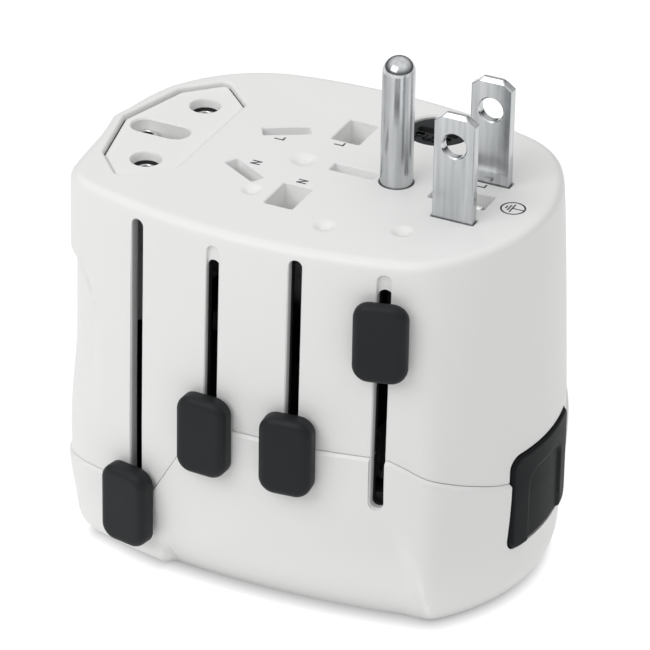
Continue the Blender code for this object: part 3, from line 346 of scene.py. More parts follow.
def make_world():
    """White light from overhead that dims to nothing at the horizon."""
    world = bpy.data.worlds.new("studio")
    world.use_nodes = True
    nodes, links = world.node_tree.nodes, world.node_tree.links
    background = nodes["Background"]
    background.inputs["Color"].default_value = (1.0, 1.0, 1.0, 1.0)
    coordinates = nodes.new("ShaderNodeTexCoord")
    height = nodes.new("ShaderNodeSeparateXYZ")
    links.new(coordinates.outputs["Generated"], height.inputs["Vector"])
    overhead = nodes.new("ShaderNodeMapRange")
    overhead.interpolation_type = "SMOOTHSTEP"
    overhead.inputs["From Max"].default_value = WORLD_HEIGHT
    overhead.inputs["To Max"].default_value = WORLD_LIGHT
    links.new(height.outputs["Z"], overhead.inputs["Value"])
    links.new(overhead.outputs["Result"], background.inputs["Strength"])
    bpy.context.scene.world = world


def make_studio():
    bpy.context.scene.view_settings.view_transform = "Standard"
    make_world()
    make_key_light()
    make_floor()
    make_dark_card()


# ---------------------------------------------------------------- materials

def new_material(name, colour, roughness, metallic=0.0):
    material = bpy.data.materials.new(name)
    material.use_nodes = True
    nodes, links = material.node_tree.nodes, material.node_tree.links
    shader = nodes["Principled BSDF"]
    shader.inputs["Base Color"].default_value = (*colour, 1.0)
    shader.inputs["Roughness"].default_value = roughness
    shader.inputs["Metallic"].default_value = metallic
    return material, nodes, links, shader


def noise(nodes, links, scale, detail=2.0, stretch=None):
    """A noise texture in object space, where stretch scales its axes."""
    coordinates = nodes.new("ShaderNodeTexCoord")
    texture = nodes.new("ShaderNodeTexNoise")
    texture.inputs["Scale"].default_value = scale
    texture.inputs["Detail"].default_value = detail
    if stretch:
        mapping = nodes.new("ShaderNodeMapping")
        mapping.inputs["Scale"].default_value = stretch
        links.new(coordinates.outputs["Object"], mapping.inputs["Vector"])
        links.new(mapping.outputs["Vector"], texture.inputs["Vector"])
    else:
        links.new(coordinates.outputs["Object"], texture.inputs["Vector"])
    return texture.outputs["Fac"]


def vary(nodes, links, value, target, low, high):
    """Blends a socket between two numbers, or two colours, by a 0 to 1 value."""
    if isinstance(low, tuple):
        blend = nodes.new("ShaderNodeMix")
        blend.data_type = "RGBA"
        blend.inputs["A"].default_value = (*low, 1.0)
        blend.inputs["B"].default_value = (*high, 1.0)
        links.new(value, blend.inputs["Factor"])
        links.new(blend.outputs["Result"], target)
    else:
        span = nodes.new("ShaderNodeMapRange")
        span.inputs["To Min"].default_value = low
        span.inputs["To Max"].default_value = high
        links.new(value, span.inputs["Value"])
        links.new(span.outputs["Result"], target)


def bump(nodes, links, value, shader, height):
    """Raises the surface by value times height, in metres."""
    node = nodes.new("ShaderNodeBump")
    node.inputs["Strength"].default_value = 1.0
    node.inputs["Distance"].default_value = height
    links.new(value, node.inputs["Height"])
    links.new(node.outputs["Normal"], shader.inputs["Normal"])


def moulded_plastic(name, dark, light, rough, grain, height, gloss=0.5):
    """Moulded plastic with a faint drift in colour, an uneven sheen and a fine grain."""
    material, nodes, links, shader = new_material(name, light, rough[1])
    shader.inputs["Specular IOR Level"].default_value = gloss
    vary(nodes, links, noise(nodes, links, 60.0), shader.inputs["Base Color"], dark, light)
    vary(nodes, links, noise(nodes, links, 240.0, 4.0), shader.inputs["Roughness"], *rough)
    bump(nodes, links, noise(nodes, links, grain), shader, height)
    return material


def plated_metal(name, dark, light, rough, streak, height):
    """Plated metal with drawing streaks along Z and slightly uneven plating."""
    material, nodes, links, shader = new_material(name, light, rough[1], 1.0)
    streaks = noise(nodes, links, 1.0, 4.0, (streak, streak, streak * 0.05))
    vary(nodes, links, streaks, shader.inputs["Base Color"], dark, light)
    vary(nodes, links, noise(nodes, links, 500.0, 3.0), shader.inputs["Roughness"], *rough)
    bump(nodes, links, streaks, shader, height)
    return material


def make_materials():
    """Each material by its short name: darkest and lightest colour, roughness, then grain or streaks."""
    return {
        "case": moulded_plastic("case_white", (0.765, 0.765, 0.757), (0.785, 0.785, 0.778), (0.36, 0.46),
                                2600.0, 4e-6),
        # painted light: a lighter copy of the case white for the hole walls
        "wall": moulded_plastic("hole_wall_painted_light", (0.9, 0.9, 0.895), (0.92, 0.92, 0.915), (0.36, 0.46),
                                2600.0, 4e-6),
        # painted shade: black for the insides of the case, its slots, holes and bay, where shade falls
        "painted_shade_black": moulded_plastic("black_painted_shade", (0.012, 0.012, 0.013), (0.02, 0.02, 0.021), (0.5, 0.6),
                                 1500.0, 4e-6),
        # painted shade: a grey copy of the case white for the slot walls
        "shade": moulded_plastic("slot_wall_painted_shade", (0.58, 0.58, 0.58), (0.62, 0.62, 0.62), (0.5, 0.6),
                                 1500.0, 4e-6),
        "soft": moulded_plastic("soft_charcoal", (0.008, 0.0095, 0.0105), (0.011, 0.013, 0.0145), (0.46, 0.6),
                                2400.0, 6e-6, 0.26),
        "pad": moulded_plastic("button_charcoal", (0.006, 0.007, 0.008), (0.008, 0.0095, 0.0105), (0.46, 0.6),
                               2400.0, 6e-6, 0.1),
        "nickel": plated_metal("nickel_plate", (0.34, 0.355, 0.365), (0.73, 0.745, 0.76), (0.13, 0.25),
                               1500.0, 6e-6),
        "pin": plated_metal("pin_plate", (0.62, 0.62, 0.61), (0.74, 0.74, 0.73), (0.2, 0.3), 1500.0, 3e-6),
        "brass": plated_metal("contact_brass", (0.7, 0.5, 0.2), (0.82, 0.62, 0.3), (0.25, 0.35), 1400.0, 3e-6),
        "steel": plated_metal("steel", (0.5, 0.51, 0.53), (0.6, 0.61, 0.63), (0.3, 0.4), 1600.0, 2e-6),
        "ceramic": moulded_plastic("ceramic", (0.8, 0.78, 0.72), (0.86, 0.85, 0.8), (0.15, 0.25), 900.0, 3e-6),
        "inner": moulded_plastic("inner_nylon", (0.66, 0.66, 0.64), (0.72, 0.72, 0.7), (0.45, 0.55),
                                 1800.0, 5e-6),
        "ink": moulded_plastic("printed_ink", (0.05, 0.055, 0.06), (0.07, 0.075, 0.08), (0.5, 0.6),
                               3000.0, 1e-6),
    }


# ---------------------------------------------------------------- mesh helpers

def add_rings(bm, rings, zones=()):
    """Adds a closed body through rings of equal length, with a flat cap at each end.

    Each ring number in zones starts the next of the object's materials, so a number given twice skips one.
    """
    rows = [[bm.verts.new(point) for point in ring] for ring in rings]
    count = len(rows[0])
    for number, (low, high) in enumerate(zip(rows, rows[1:])):
        zone = sum(number >= start for start in zones)
        for i in range(count):
            j = (i + 1) % count
            bm.faces.new((low[i], low[j], high[j], high[i])).material_index = zone
    bm.faces.new(rows[0])
    bm.faces.new(rows[-1]).material_index = len(zones)
    return bm


def add_levels(bm, shape, levels, zones=(), base=0.0):
    """Adds a closed body through shape(grow) at each level, given as (height above base, grow)."""
    return add_rings(bm, [[(x, y, base + z) for x, y in shape(grow)] for z, grow in levels], zones)


def to_object(name, bm, materials, sharp=30.0):
    """Makes an object from a bmesh whose points are in millimetres in the plug-face frame."""
    bmesh.ops.recalc_face_normals(bm, faces=bm.faces)
    for vertex in bm.verts:
        vertex.co = place(*vertex.co)
    mesh = bpy.data.meshes.new(name)
    bm.to_mesh(mesh)
    bm.free()
    for material in materials:
        mesh.materials.append(MATERIALS[material])
    mesh.shade_smooth()
    mesh.set_sharp_from_angle(angle=math.radians(sharp))
    obj = bpy.data.objects.new(name, mesh)
    bpy.context.scene.collection.objects.link(obj)
    return obj


def carve(obj, bm, materials=("case",), operation="DIFFERENCE", sharp=30.0):
    """Cuts obj with the closed bodies in bm, or joins them to it. New faces take the tool's materials."""
    tool = to_object("tool", bm, materials)
    modifier = obj.modifiers.new("carve", "BOOLEAN")
    modifier.operation = operation
    modifier.object = tool
    modifier.solver = "EXACT"
    modifier.material_mode = "TRANSFER"
    bpy.context.view_layer.update()
    graph = bpy.context.evaluated_depsgraph_get()
    result = bpy.data.meshes.new_from_object(obj.evaluated_get(graph))
    obj.modifiers.clear()
    spare = [obj.data, tool.data]
    obj.data = result
    bpy.data.objects.remove(tool)
    for mesh in spare:
        bpy.data.meshes.remove(mesh)
    result.shade_smooth()
    result.set_sharp_from_angle(angle=math.radians(sharp))


def finish(obj, body, *replaced, slot):
    """Keeps flat faces flat, and lets the piece ride on its body in place of the CAD nodes."""
    modifier = obj.modifiers.new("flat_faces", "WEIGHTED_NORMAL")
    modifier.keep_sharp = True
    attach(obj, body)
    if replaced:
        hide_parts(*replaced)


def inset_outline(outline, distance):
    """An anticlockwise convex outline with each side moved in by distance."""
    count = len(outline)
    lines = []
    for i in range(count):
        (x0, y0), (x1, y1) = outline[i], outline[(i + 1) % count]
        length = math.hypot(x1 - x0, y1 - y0)
        nx, ny = -(y1 - y0) / length, (x1 - x0) / length
        lines.append((nx, ny, nx * x0 + ny * y0 + distance))
    points = []
    for i in range(count):
        (a, b, c), (d, e, f) = lines[i - 1], lines[i]
        determinant = a * e - b * d
        points.append(((c * e - b * f) / determinant, (a * f - c * d) / determinant))
    return points


def soft_outline(outline, radius, offset=0.0, steps=6):
    """A convex anticlockwise outline with rounded corners, moved out by offset."""
    core = inset_outline(outline, radius)
    count = len(core)
    points = []
    for i in range(count):
        before, here, after = core[i - 1], core[i], core[(i + 1) % count]
        start = math.atan2(-(here[0] - before[0]), here[1] - before[1])
        end = math.atan2(-(after[0] - here[0]), after[1] - here[1])
        if end < start:
            end += 2 * math.pi
        reach = radius + offset
        for k in range(steps + 1):
            angle = start + (end - start) * k / steps
            points.append((here[0] + reach * math.cos(angle), here[1] + reach * math.sin(angle)))
    return points


def box_outline(size_x, size_y, x=0.0, y=0.0, turn=0.0):
    cos, sin = math.cos(turn), math.sin(turn)
    half_x, half_y = size_x / 2, size_y / 2
    corners = ((-half_x, -half_y), (half_x, -half_y), (half_x, half_y), (-half_x, half_y))
    return [(x + a * cos - b * sin, y + a * sin + b * cos) for a, b in corners]


def circle(x, y, radius, steps=40):
    angles = [2 * math.pi * i / steps for i in range(steps)]
    return [(x + radius * math.cos(angle), y + radius * math.sin(angle)) for angle in angles]


def round_edge(radius, steps=5):
    """(inset, depth) pairs down a rounded edge, from the flat face to the side."""
    pairs = []
    for k in range(steps + 1):
        angle = math.pi / 2 * k / steps
        pairs.append((radius * (1 - math.sin(angle)), radius * (1 - math.cos(angle))))
    return pairs


def rounded(outline, corner, steps=6):
    """An outline with rounded corners, as a shape for add_levels."""
    return lambda grow: soft_outline(outline, corner, grow, steps)


def disc(x, y, radius, steps=40):
    """A circle, as a shape for add_levels."""
    return lambda grow: circle(x, y, radius + grow, steps)


def add_hole(bm, shape, low, chamfer, zones=(2,)):
    """Adds a cutter for a hole through the plug face, flared at its mouth. With the default zones, the wall
    past the flare takes the lighter white as painted light.
    """
    add_levels(bm, shape, ((1.0, chamfer), (0.0, chamfer), (-chamfer, 0.0), (low, 0.0)), zones)


# ---------------------------------------------------------------- case surface

def outline_arcs():
    """The plan outline, as arcs in turn: (x, y, radius, first normal angle, last normal angle)."""
    quadrants = ((1, 1), (-1, 1), (-1, -1), (1, -1))
    corners = []
    for index in range(4):
        x0, y0, r0 = SIDE_ARCS[index]
        x1, y1, r1 = SIDE_ARCS[(index + 1) % 4]
        r0 -= CORNER_RADII[index]
        r1 -= CORNER_RADII[index]
        distance = math.hypot(x1 - x0, y1 - y0)
        along = (r0 * r0 - r1 * r1 + distance * distance) / (2 * distance)
        across = math.sqrt(r0 * r0 - along * along)
        ex, ey = (x1 - x0) / distance, (y1 - y0) / distance
        sign_x, sign_y = quadrants[index]
        choices = [(x0 + along * ex - s * across * ey, y0 + along * ey + s * across * ex) for s in (-1, 1)]
        corners.append(max(choices, key=lambda p: p[0] * sign_x + p[1] * sign_y))
    arcs = []
    for index in range(4):
        x, y, radius = SIDE_ARCS[index]
        before, after = corners[index - 1], corners[index]
        start = math.atan2(before[1] - y, before[0] - x)
        end = math.atan2(after[1] - y, after[0] - x)
        if end < start:
            end += 2 * math.pi
        arcs.append((x, y, radius, start, end))
        next_x, next_y, _ = SIDE_ARCS[(index + 1) % 4]
        turn = math.atan2(after[1] - next_y, after[0] - next_x)
        while turn < end:
            turn += 2 * math.pi
        arcs.append((after[0], after[1], CORNER_RADII[index], end, turn))
    return arcs


def stations(facet):
    """(centre x, centre y, radius, normal angle) of points about facet apart round the plan outline."""
    found = []
    for x, y, radius, start, end in outline_arcs():
        steps = max(3, round((end - start) * radius / facet))
        found += [(x, y, radius, start + (end - start) * i / steps) for i in range(steps)]
    return found


def front_surface(x, offset):
    """Y of the slider face's arc at x, moved out by offset."""
    centre_x, centre_y, radius = SIDE_ARCS[3]
    return centre_y - math.sqrt((radius + offset) ** 2 - (x - centre_x) ** 2)


def right_surface(y, offset):
    centre_x, centre_y, radius = SIDE_ARCS[0]
    return centre_x + math.sqrt((radius + offset) ** 2 - (y - centre_y) ** 2)


def draft_at(z, angle):
    """How far a side leans out at height z, by its normal's angle from +X."""
    front = smooth_step((-math.sin(angle) - FRONT_FROM) / FRONT_BLEND)
    lean = mix(DRAFT, FRONT_DRAFT, front) * min(1.0, max(0.0, -TOP_ROUND - z) / DRAFT_DEPTH) ** DRAFT_POWER
    return lean * (1 - max(0.0, -math.cos(angle)))


def grip_depth(x, z):
    """How far the grip hollow goes in at this place."""
    along = max(0.0, (x - GRIP_EDGE_X + GRIP_WIDTH) / GRIP_WIDTH)
    if along >= 1:
        return 0.0
    crease = GRIP_TOP - GRIP_DROP * along * along
    low = smooth_step((z - GRIP_FOOT) / (GRIP_TOP - GRIP_DROP - GRIP_FOOT))
    fade = low * smooth_step((1 - along) / GRIP_END_FADE)
    return GRIP_DEPTH * smooth_step((crease - z) / GRIP_CREASE_WIDTH) * fade


def edge_offset(z):
    """How far the rounded top edge draws the side in at height z."""
    if z <= -TOP_ROUND:
        return 0.0
    return math.sqrt(max(0.0, TOP_ROUND**2 - (z + TOP_ROUND) ** 2)) - TOP_ROUND


def side_offset(angle, x, z):
    """How far the side lies outside the plan outline at x and z, by its normal's angle from +X."""
    right = max(0.0, math.cos(angle))
    taper = mix(TAPER, RIGHT_TAPER, right) * max(0.0, (SPLIT_Z - z) / TAPER_HEIGHT) ** 2
    below = max(0.0, BOTTOM_ROUND - CASE_HEIGHT - z)
    rounding = BOTTOM_ROUND - math.sqrt(max(0.0, BOTTOM_ROUND**2 - below**2))
    lean = draft_at(z, angle) - taper - rounding * mix(ROUND_SHARE, RIGHT_ROUND_SHARE, right)
    return edge_offset(z) + lean - grip_depth(x, z)


def scoop_floor(x, z):
    """The scoop's Y at this place, and how fully it is formed there, 0 to 1."""
    crease = SCOOP_CREASE_Z + SCOOP_CREASE_SLOPE * x
    depth = (crease - z) / (crease + CASE_HEIGHT)
    right = SCOOP_RIGHT + SCOOP_RIGHT_LEAN * (crease - z)
    left = SCOOP_LEFT - SCOOP_LEFT_LEAN * (crease - z)
    share = smooth_step((x - left) / SCOOP_BLEND + 0.5) * smooth_step((right - x) / SCOOP_RIGHT_BLEND + 0.5)
    top = front_surface(x, FRONT_DRAFT)
    bow = SCOOP_BOW * max(0.0, 1 - ((x - SCOOP_MIDDLE) / SCOOP_HALF) ** 2)
    foot = SCOOP_FOOT_Y + SCOOP_FOOT_SLOPE * x - bow
    return mix(top, foot, depth), share


def block_distance(x, y):
    """How far a point is outside the plug block's outline, and less than 0 inside it."""
    inside, nearest = -math.inf, math.inf
    count = len(BLOCK_OUTLINE)
    for i in range(count):
        (x0, y0), (x1, y1) = BLOCK_OUTLINE[i], BLOCK_OUTLINE[(i + 1) % count]
        ex, ey = x1 - x0, y1 - y0
        length = math.hypot(ex, ey)
        inside = max(inside, ((x - x0) * ey - (y - y0) * ex) / length)
        along = min(1.0, max(0.0, ((x - x0) * ex + (y - y0) * ey) / length**2))
        nearest = min(nearest, math.hypot(x - x0 - along * ex, y - y0 - along * ey))
    return nearest if inside > 0 else inside


def bulge_push(x, y, z):
    """How far the wall round the plug block's bay pushes the side out at this place."""
    if x > BULGE_RIGHT or z < BULGE_FOOT:
        return 0.0
    reach = BULGE + edge_offset(z) - BULGE_LOSS * smooth_step((BULGE_FADE_TOP - z) / BULGE_FADE_HEIGHT)
    return soft_max(reach - block_distance(x, y), 0.0, BULGE_SOFTNESS)


def parting_height(x):
    return float(np.interp(x, [point[0] for point in PARTING], [point[1] for point in PARTING]))


def warped(level, x):
    """The height of a level at x, where the levels near SPLIT_Z follow the parting line."""
    line = parting_height(x)
    if level >= WARP_TOP or level <= WARP_FOOT:
        return level
    if level >= SPLIT_Z:
        return WARP_TOP + (level - WARP_TOP) * (line - WARP_TOP) / (SPLIT_Z - WARP_TOP)
    return WARP_FOOT + (level - WARP_FOOT) * (line - WARP_FOOT) / (SPLIT_Z - WARP_FOOT)


def case_ring(around, level, inset, shift=0.0):
    """One ring of the case's surface, or of its inside where inset is the wall, moved up by shift."""
    outside = inset < WALL
    smooth = SCOOP_EDGE if outside else SCOOP_INNER_EDGE
    ring = []
    for centre_x, centre_y, radius, angle in around:
        cosine, sine = math.cos(angle), math.sin(angle)
        z = warped(level, centre_x + radius * cosine) + shift
        reach = radius + side_offset(angle, centre_x + radius * cosine, z) - inset
        x, y = centre_x + reach * cosine, centre_y + reach * sine
        if outside:
            push = bulge_push(x, y, z)
            x, y = x + push * cosine, y + push * sine
        if y < 0:
            floor, formed = scoop_floor(x, z)
            y = mix(y, soft_max(y, floor + inset, smooth), formed)
        ring.append((x, y, z))
    return ring


def even_levels(first, last):
    """Levels about a facet apart from first down to last, without last."""
    count = round((first - last) / FACET)
    return [first + (last - first) * i / count for i in range(count)]


def shrunk(ring, z):
    """A ring a little inside another, which holds the flat face's shading level."""
    return [(x * 0.985, y * 0.985, z) for x, y, _ in ring]


def upper_shell():
    """The upper housing: from inside its plate, down, over the parting edge, up to the plug face. Its inside
    is painted black as shade.
    """
    around = stations(FACET)
    rings = [case_ring(around, level, WALL) for level in even_levels(-PLATE, SPLIT_Z)]
    rings.append(case_ring(around, SPLIT_Z, WALL, PARTING_GAP))
    # painted shade: the rings so far, the inside, take the black
    dark = len(rings) - 1
    for inset, rise in ((1.0, 0.0), (0.3, 0.3), (0.0, 1.0)):
        rings.append(case_ring(around, SPLIT_Z, inset * PARTING_EDGE, PARTING_GAP + rise * PARTING_EDGE))
    rings += [case_ring(around, level, 0.0) for level in reversed(even_levels(-TOP_ROUND, SPLIT_Z + 0.5))]
    for degrees in range(10, 100, 10):
        rings.append(case_ring(around, -TOP_ROUND * (1 - math.sin(math.radians(degrees))), 0.0))
    rings.append(shrunk(rings[-1], 0.0))
    return to_object("upper_shell", add_rings(bmesh.new(), rings, (dark,)), ["painted_shade_black", "case"])


def lower_shell():
    """The lower housing: from inside its floor, up the wall, over the parting edge, down to the foot. Its
    inside is painted black as shade.
    """
    around = stations(FACET)
    floor = -CASE_HEIGHT + PLATE
    rings = [case_ring(around, level, WALL) for level in (floor, *reversed(even_levels(SPLIT_Z, floor)))]
    # painted shade: the rings so far, the inside, take the black
    dark = len(rings) - 1
    rings += [case_ring(around, SPLIT_Z, 0.0), case_ring(around, SPLIT_Z, -PARTING_LEDGE, -PARTING_LEDGE)]
    for level in even_levels(SPLIT_Z - 1.2, -CASE_HEIGHT + BOTTOM_ROUND):
        proud = PARTING_LEDGE * (1 - smooth_step((SPLIT_Z - level) / LEDGE_FADE))
        rings.append(case_ring(around, level, -proud))
    for degrees in range(0, 100, 10):
        rise = BOTTOM_ROUND * (1 - math.sin(math.radians(degrees)))
        rings.append(case_ring(around, -CASE_HEIGHT + rise, 0.0))
    rings.append(shrunk(rings[-1], -CASE_HEIGHT))
    return to_object("lower_shell", add_rings(bmesh.new(), rings, (dark,)), ["painted_shade_black", "case"])


def slot_outline(x, top, bottom, grow):
    """A slot's outline in X and Z, with round ends."""
    half = SLOT_WIDTH / 2
    points = []
    for centre, start in ((top - half, 0), (bottom + half, 180)):
        for k in range(13):
            angle = math.radians(start + 15 * k)
            points.append((x + (half + grow) * math.cos(angle), centre + (half + grow) * math.sin(angle)))
    return points


def add_slot(bm, x, top, bottom, depth, wall=None):
    """Adds a cutter for a slot in the slider face that goes in by depth. Given a wall, its side is painted
    grey as shade from 0.4 mm to wall, and black as shade past it.
    """
    levels = [(-3.0, SLOT_CHAMFER), (0.0, SLOT_CHAMFER), (SLOT_CHAMFER, 0.0), (depth, 0.0)]
    if wall:
        levels[3:3] = [(0.4, 0.0), (wall, 0.0)]
    centre_x, _, radius = SIDE_ARCS[3]
    rings = []
    for level, grow in levels:
        ring = []
        for a, z in slot_outline(x, top, bottom, grow):
            lean = draft_at(z, -math.acos((a - centre_x) / radius))
            ring.append((a, front_surface(a, lean) + level, z))
        rings.append(ring)
    add_rings(bm, rings, (3, 4) if wall else ())


def add_slider_slots(bm):
    for name, (x, _, top, bottom, _, _) in SLIDERS.items():
        add_slot(bm, x, top, bottom, SLOT_DEPTH, SLOT_WALLS[name])


def button_outline():
    """The release button's outline in Y and Z, with square corners."""
    middle = 0.5 * (BUTTON_TOP + BUTTON_BOTTOM)
    return box_outline(2 * BUTTON_HALF_WIDTH, BUTTON_TOP - BUTTON_BOTTOM, 0, middle)


def add_button_hole(bm):
    """Adds a cutter through the right wall on the button's outline, painted black as shade past its edge."""
    outline = soft_outline(button_outline(), BUTTON_CORNER, CLEARANCE)
    rings = []
    for level in (8.0, 0.0, -0.6, -7.0):
        rings.append([(right_surface(y, DRAFT + level), y, z) for y, z in outline])
    add_rings(bm, rings, (2, 2))


def add_face_holes(bm):
    """Adds cutters for every hole in the plug face except the plug block's bay."""
    low = GUIDE_LOW - 1.0
    for sign in (-1, 1):
        add_hole(bm, rounded(box_outline(*UK_HOLE, 0, sign * UK_PITCH), 0.35), low, 0.15)
        slanted = box_outline(*AUS_HOLE, AUS_X, sign * AUS_Y, sign * AUS_SLANT)
        add_hole(bm, rounded(slanted, 0.3), low, 0.15)
        add_hole(bm, rounded(box_outline(*US_HOLE, US_BLADE_X, sign * US_PITCH), 0.2), low, 0.08)
    add_hole(bm, rounded(box_outline(*UK_EARTH_HOLE, UK_EARTH_X, 0), 0.35), low, 0.15)
    add_hole(bm, rounded(box_outline(*AUS_HOLE, AUS_EARTH_X, 0), 0.3), low, 0.15)
    add_hole(bm, disc(US_GROUND_X, 0, US_GROUND_RADIUS + 0.2), low, 0.08, ())
    add_cap_seat(bm)
    for x, y, radius in DIMPLES:
        add_dimple(bm, x, y, radius)


def add_cap_seat(bm):
    """Adds a cutter for the fuse cap's stepped seat."""
    levels = ((1.0, 0.45), (0.0, 0.45), (-0.25, 0.2), (-1.8, 0.2), (-1.8, -0.7), (-PLATE - 1, -0.7))
    add_levels(bm, disc(FUSE_X, FUSE_Y, FUSE_CAP_RADIUS, 56), levels)


def add_dimple(bm, x, y, radius, steps=10):
    """Adds a cutter for a shallow dimple with soft sides."""
    rings = [[(a, b, 1.0) for a, b in circle(x, y, radius)]]
    for k in range(steps):
        share = k / steps
        depth = DIMPLE_DEPTH * smooth_step(share * DIMPLE_SLOPE)
        rings.append([(a, b, -depth) for a, b in circle(x, y, radius * (1 - share))])
    add_rings(bm, rings)


def add_bay(bm):
    """Adds a cutter for the plug block's bay, with a rounded mouth and walls below it painted black as shade.
    """
    rings = [[(x, y, 1.0) for x, y in soft_outline(BLOCK_OUTLINE, BLOCK_CORNER, BAY_EDGE)]]
    for inset, depth in round_edge(BAY_EDGE, 4):
        rings.append([(x, y, -depth) for x, y in soft_outline(BLOCK_OUTLINE, BLOCK_CORNER, inset)])
    wall = soft_outline(BLOCK_OUTLINE, BLOCK_CORNER)
    rings += [[(x, y, z) for x, y in wall] for z in (-1.0, BAY_LOW)]
    add_rings(bm, rings, (len(rings) - 2,) * 2)


def make_upper_housing():
    shell = upper_shell()
    guides = bmesh.new()
    for sign in (-1, 1):
        outline = box_outline(2 * GUIDE_HALF_X, 2 * GUIDE_HALF_Y, 0, sign * UK_PITCH)
        add_rings(guides, [[(x, y, z) for x, y in outline] for z in (GUIDE_LOW, -PLATE + 0.5)])
    carve(shell, guides, operation="UNION")
    tools = bmesh.new()
    add_face_holes(tools)
    carve(shell, tools, ("case", "wall"))
    tools = bmesh.new()
    add_bay(tools)
    add_button_hole(tools)
    add_slider_slots(tools)
    carve(shell, tools, ("case", "shade", "painted_shade_black"))
    pockets = bmesh.new()
    for x, _, top, _, pocket_top, _ in SLIDERS.values():
        if pocket_top:
            add_slot(pockets, x, pocket_top, top - SLOT_WIDTH, POCKET_DEPTH)
    carve(shell, pockets)
    finish(shell, "case", "upper_housing", slot="white_case")


def make_lower_housing():
    """The lower housing with its slots, button opening, socket hole and screw wells."""
    shell = lower_shell()
    tools = bmesh.new()
    add_slider_slots(tools)
    add_button_hole(tools)
    carve(shell, tools, ("case", "shade", "painted_shade_black"))
    holes = bmesh.new()
    levels = ((-1.0, 0.5), (0.0, 0.5), (0.3, 0.2), (6.0, 0.2))
    add_levels(holes, socket_outline, levels, base=-CASE_HEIGHT)
    levels = ((-1.0, 0.25), (0.0, 0.25), (0.3, 0.0), (3.5, 0.0))
    for x, y in SCREWS:
        add_levels(holes, disc(x, y, SCREW_WELL, 32), levels, base=-CASE_HEIGHT)
    carve(shell, holes)
    finish(shell, "case", "lower_housing", slot="white_case")


# ---------------------------------------------------------------- sliders and button

def knob_point(x, stand_out, across):
    """(X, Y) of a point on a knob, by how far it stands out from the plan outline and lies across."""
    centre_x, _, radius = SIDE_ARCS[3]
    turn = math.asin((x - centre_x) / radius)
    out = stand_out - across * across / (2 * radius)
    return (x + across * math.cos(turn) + out * math.sin(turn),
            front_surface(x, 0) + across * math.sin(turn) - out * math.cos(turn))


def make_knob(name):
    """A soft-edged knob that stands square to the slider face and follows its curve."""
    x, knob_z, _, _, _, stand_out = SLIDERS[name]
    base = box_outline(KNOB_WIDTH, KNOB_HEIGHT)
    rings = []

    def ring(grow, out):
        points = soft_outline(base, KNOB_CORNER, grow, 10)
        rings.append([(*knob_point(x, out, a), knob_z + b) for a, b in points])

    ring(-KNOB_BACK_EDGE, FRONT_DRAFT + KNOB_CLEARANCE)
    ring(0.0, FRONT_DRAFT + KNOB_CLEARANCE + KNOB_BACK_EDGE)
    for inset, depth in reversed(round_edge(KNOB_BEVEL, 9)):
        ring(-inset, stand_out - depth)
    ring(-KNOB_BEVEL - 0.5, stand_out + KNOB_CROWN)
    knob = to_object(f"{name}_knob_cap", add_rings(bmesh.new(), rings), ["soft"], 60.0)
    finish(knob, f"{name}_slider", f"{name}_knob", slot="soft_black")


def button_depth(y, z):
    """How far the finger hollow goes into the button at this place: a shallow panel, open at the foot."""
    across = abs(y) - (BUTTON_HOLLOW_HALF - BUTTON_HOLLOW_CORNER)
    above = z - (BUTTON_HOLLOW_TOP - BUTTON_HOLLOW_CORNER)
    outside = math.hypot(max(0.0, across), max(0.0, above)) + min(0.0, max(across, above))
    return BUTTON_HOLLOW_DEPTH * smooth_step((BUTTON_HOLLOW_CORNER - outside) / BUTTON_HOLLOW_EDGE + 0.5)


def make_release_button():
    """A curved pad with a rounded rim and a shallow finger hollow."""
    middle = 0.5 * (BUTTON_TOP + BUTTON_BOTTOM)
    base = button_outline()
    proud = DRAFT + BUTTON_PROUD

    def ring(grow, depth, scale=1.0):
        points = soft_outline(base, BUTTON_CORNER, grow, 8)
        dense = []
        for i, (y, z) in enumerate(points):
            next_y, next_z = points[(i + 1) % len(points)]
            steps = 24 if math.hypot(next_y - y, next_z - z) > 3 else 1
            dense += [(mix(y, next_y, k / steps), mix(z, next_z, k / steps)) for k in range(steps)]
        dense = [(y * scale, middle + (z - middle) * scale) for y, z in dense]
        return [(right_surface(y, proud - depth - button_depth(y, z)), y, z) for y, z in dense]

    rings = [ring(0.0, BUTTON_THICK)]
    for inset, depth in reversed(round_edge(BUTTON_EDGE, 6)):
        rings.append(ring(-inset, depth))
    rings += [ring(-BUTTON_EDGE, 0.0, 1 - k / 40) for k in range(1, 40)]
    button = to_object("release_button_pad", add_rings(bmesh.new(), rings), ["pad"], 60.0)
    finish(button, "release_button", "release_button", slot="soft_black")


# ---------------------------------------------------------------- plug pins

def add_blade(bm, size, x, y, turn, low, high, tip, bevel):
    """Adds a flat blade whose tip narrows by tip (along, across) over bevel of its height."""
    rings = []
    for z, along, across in ((low, 0.0, 0.0), (high - bevel, 0.0, 0.0), (high, *tip)):
        outline = box_outline(size[0] - 2 * along, size[1] - 2 * across, x, y, turn)
        rings.append([(a, b, z) for a, b in soft_outline(outline, 0.12, 0.0, 3)])
    return add_rings(bm, rings)


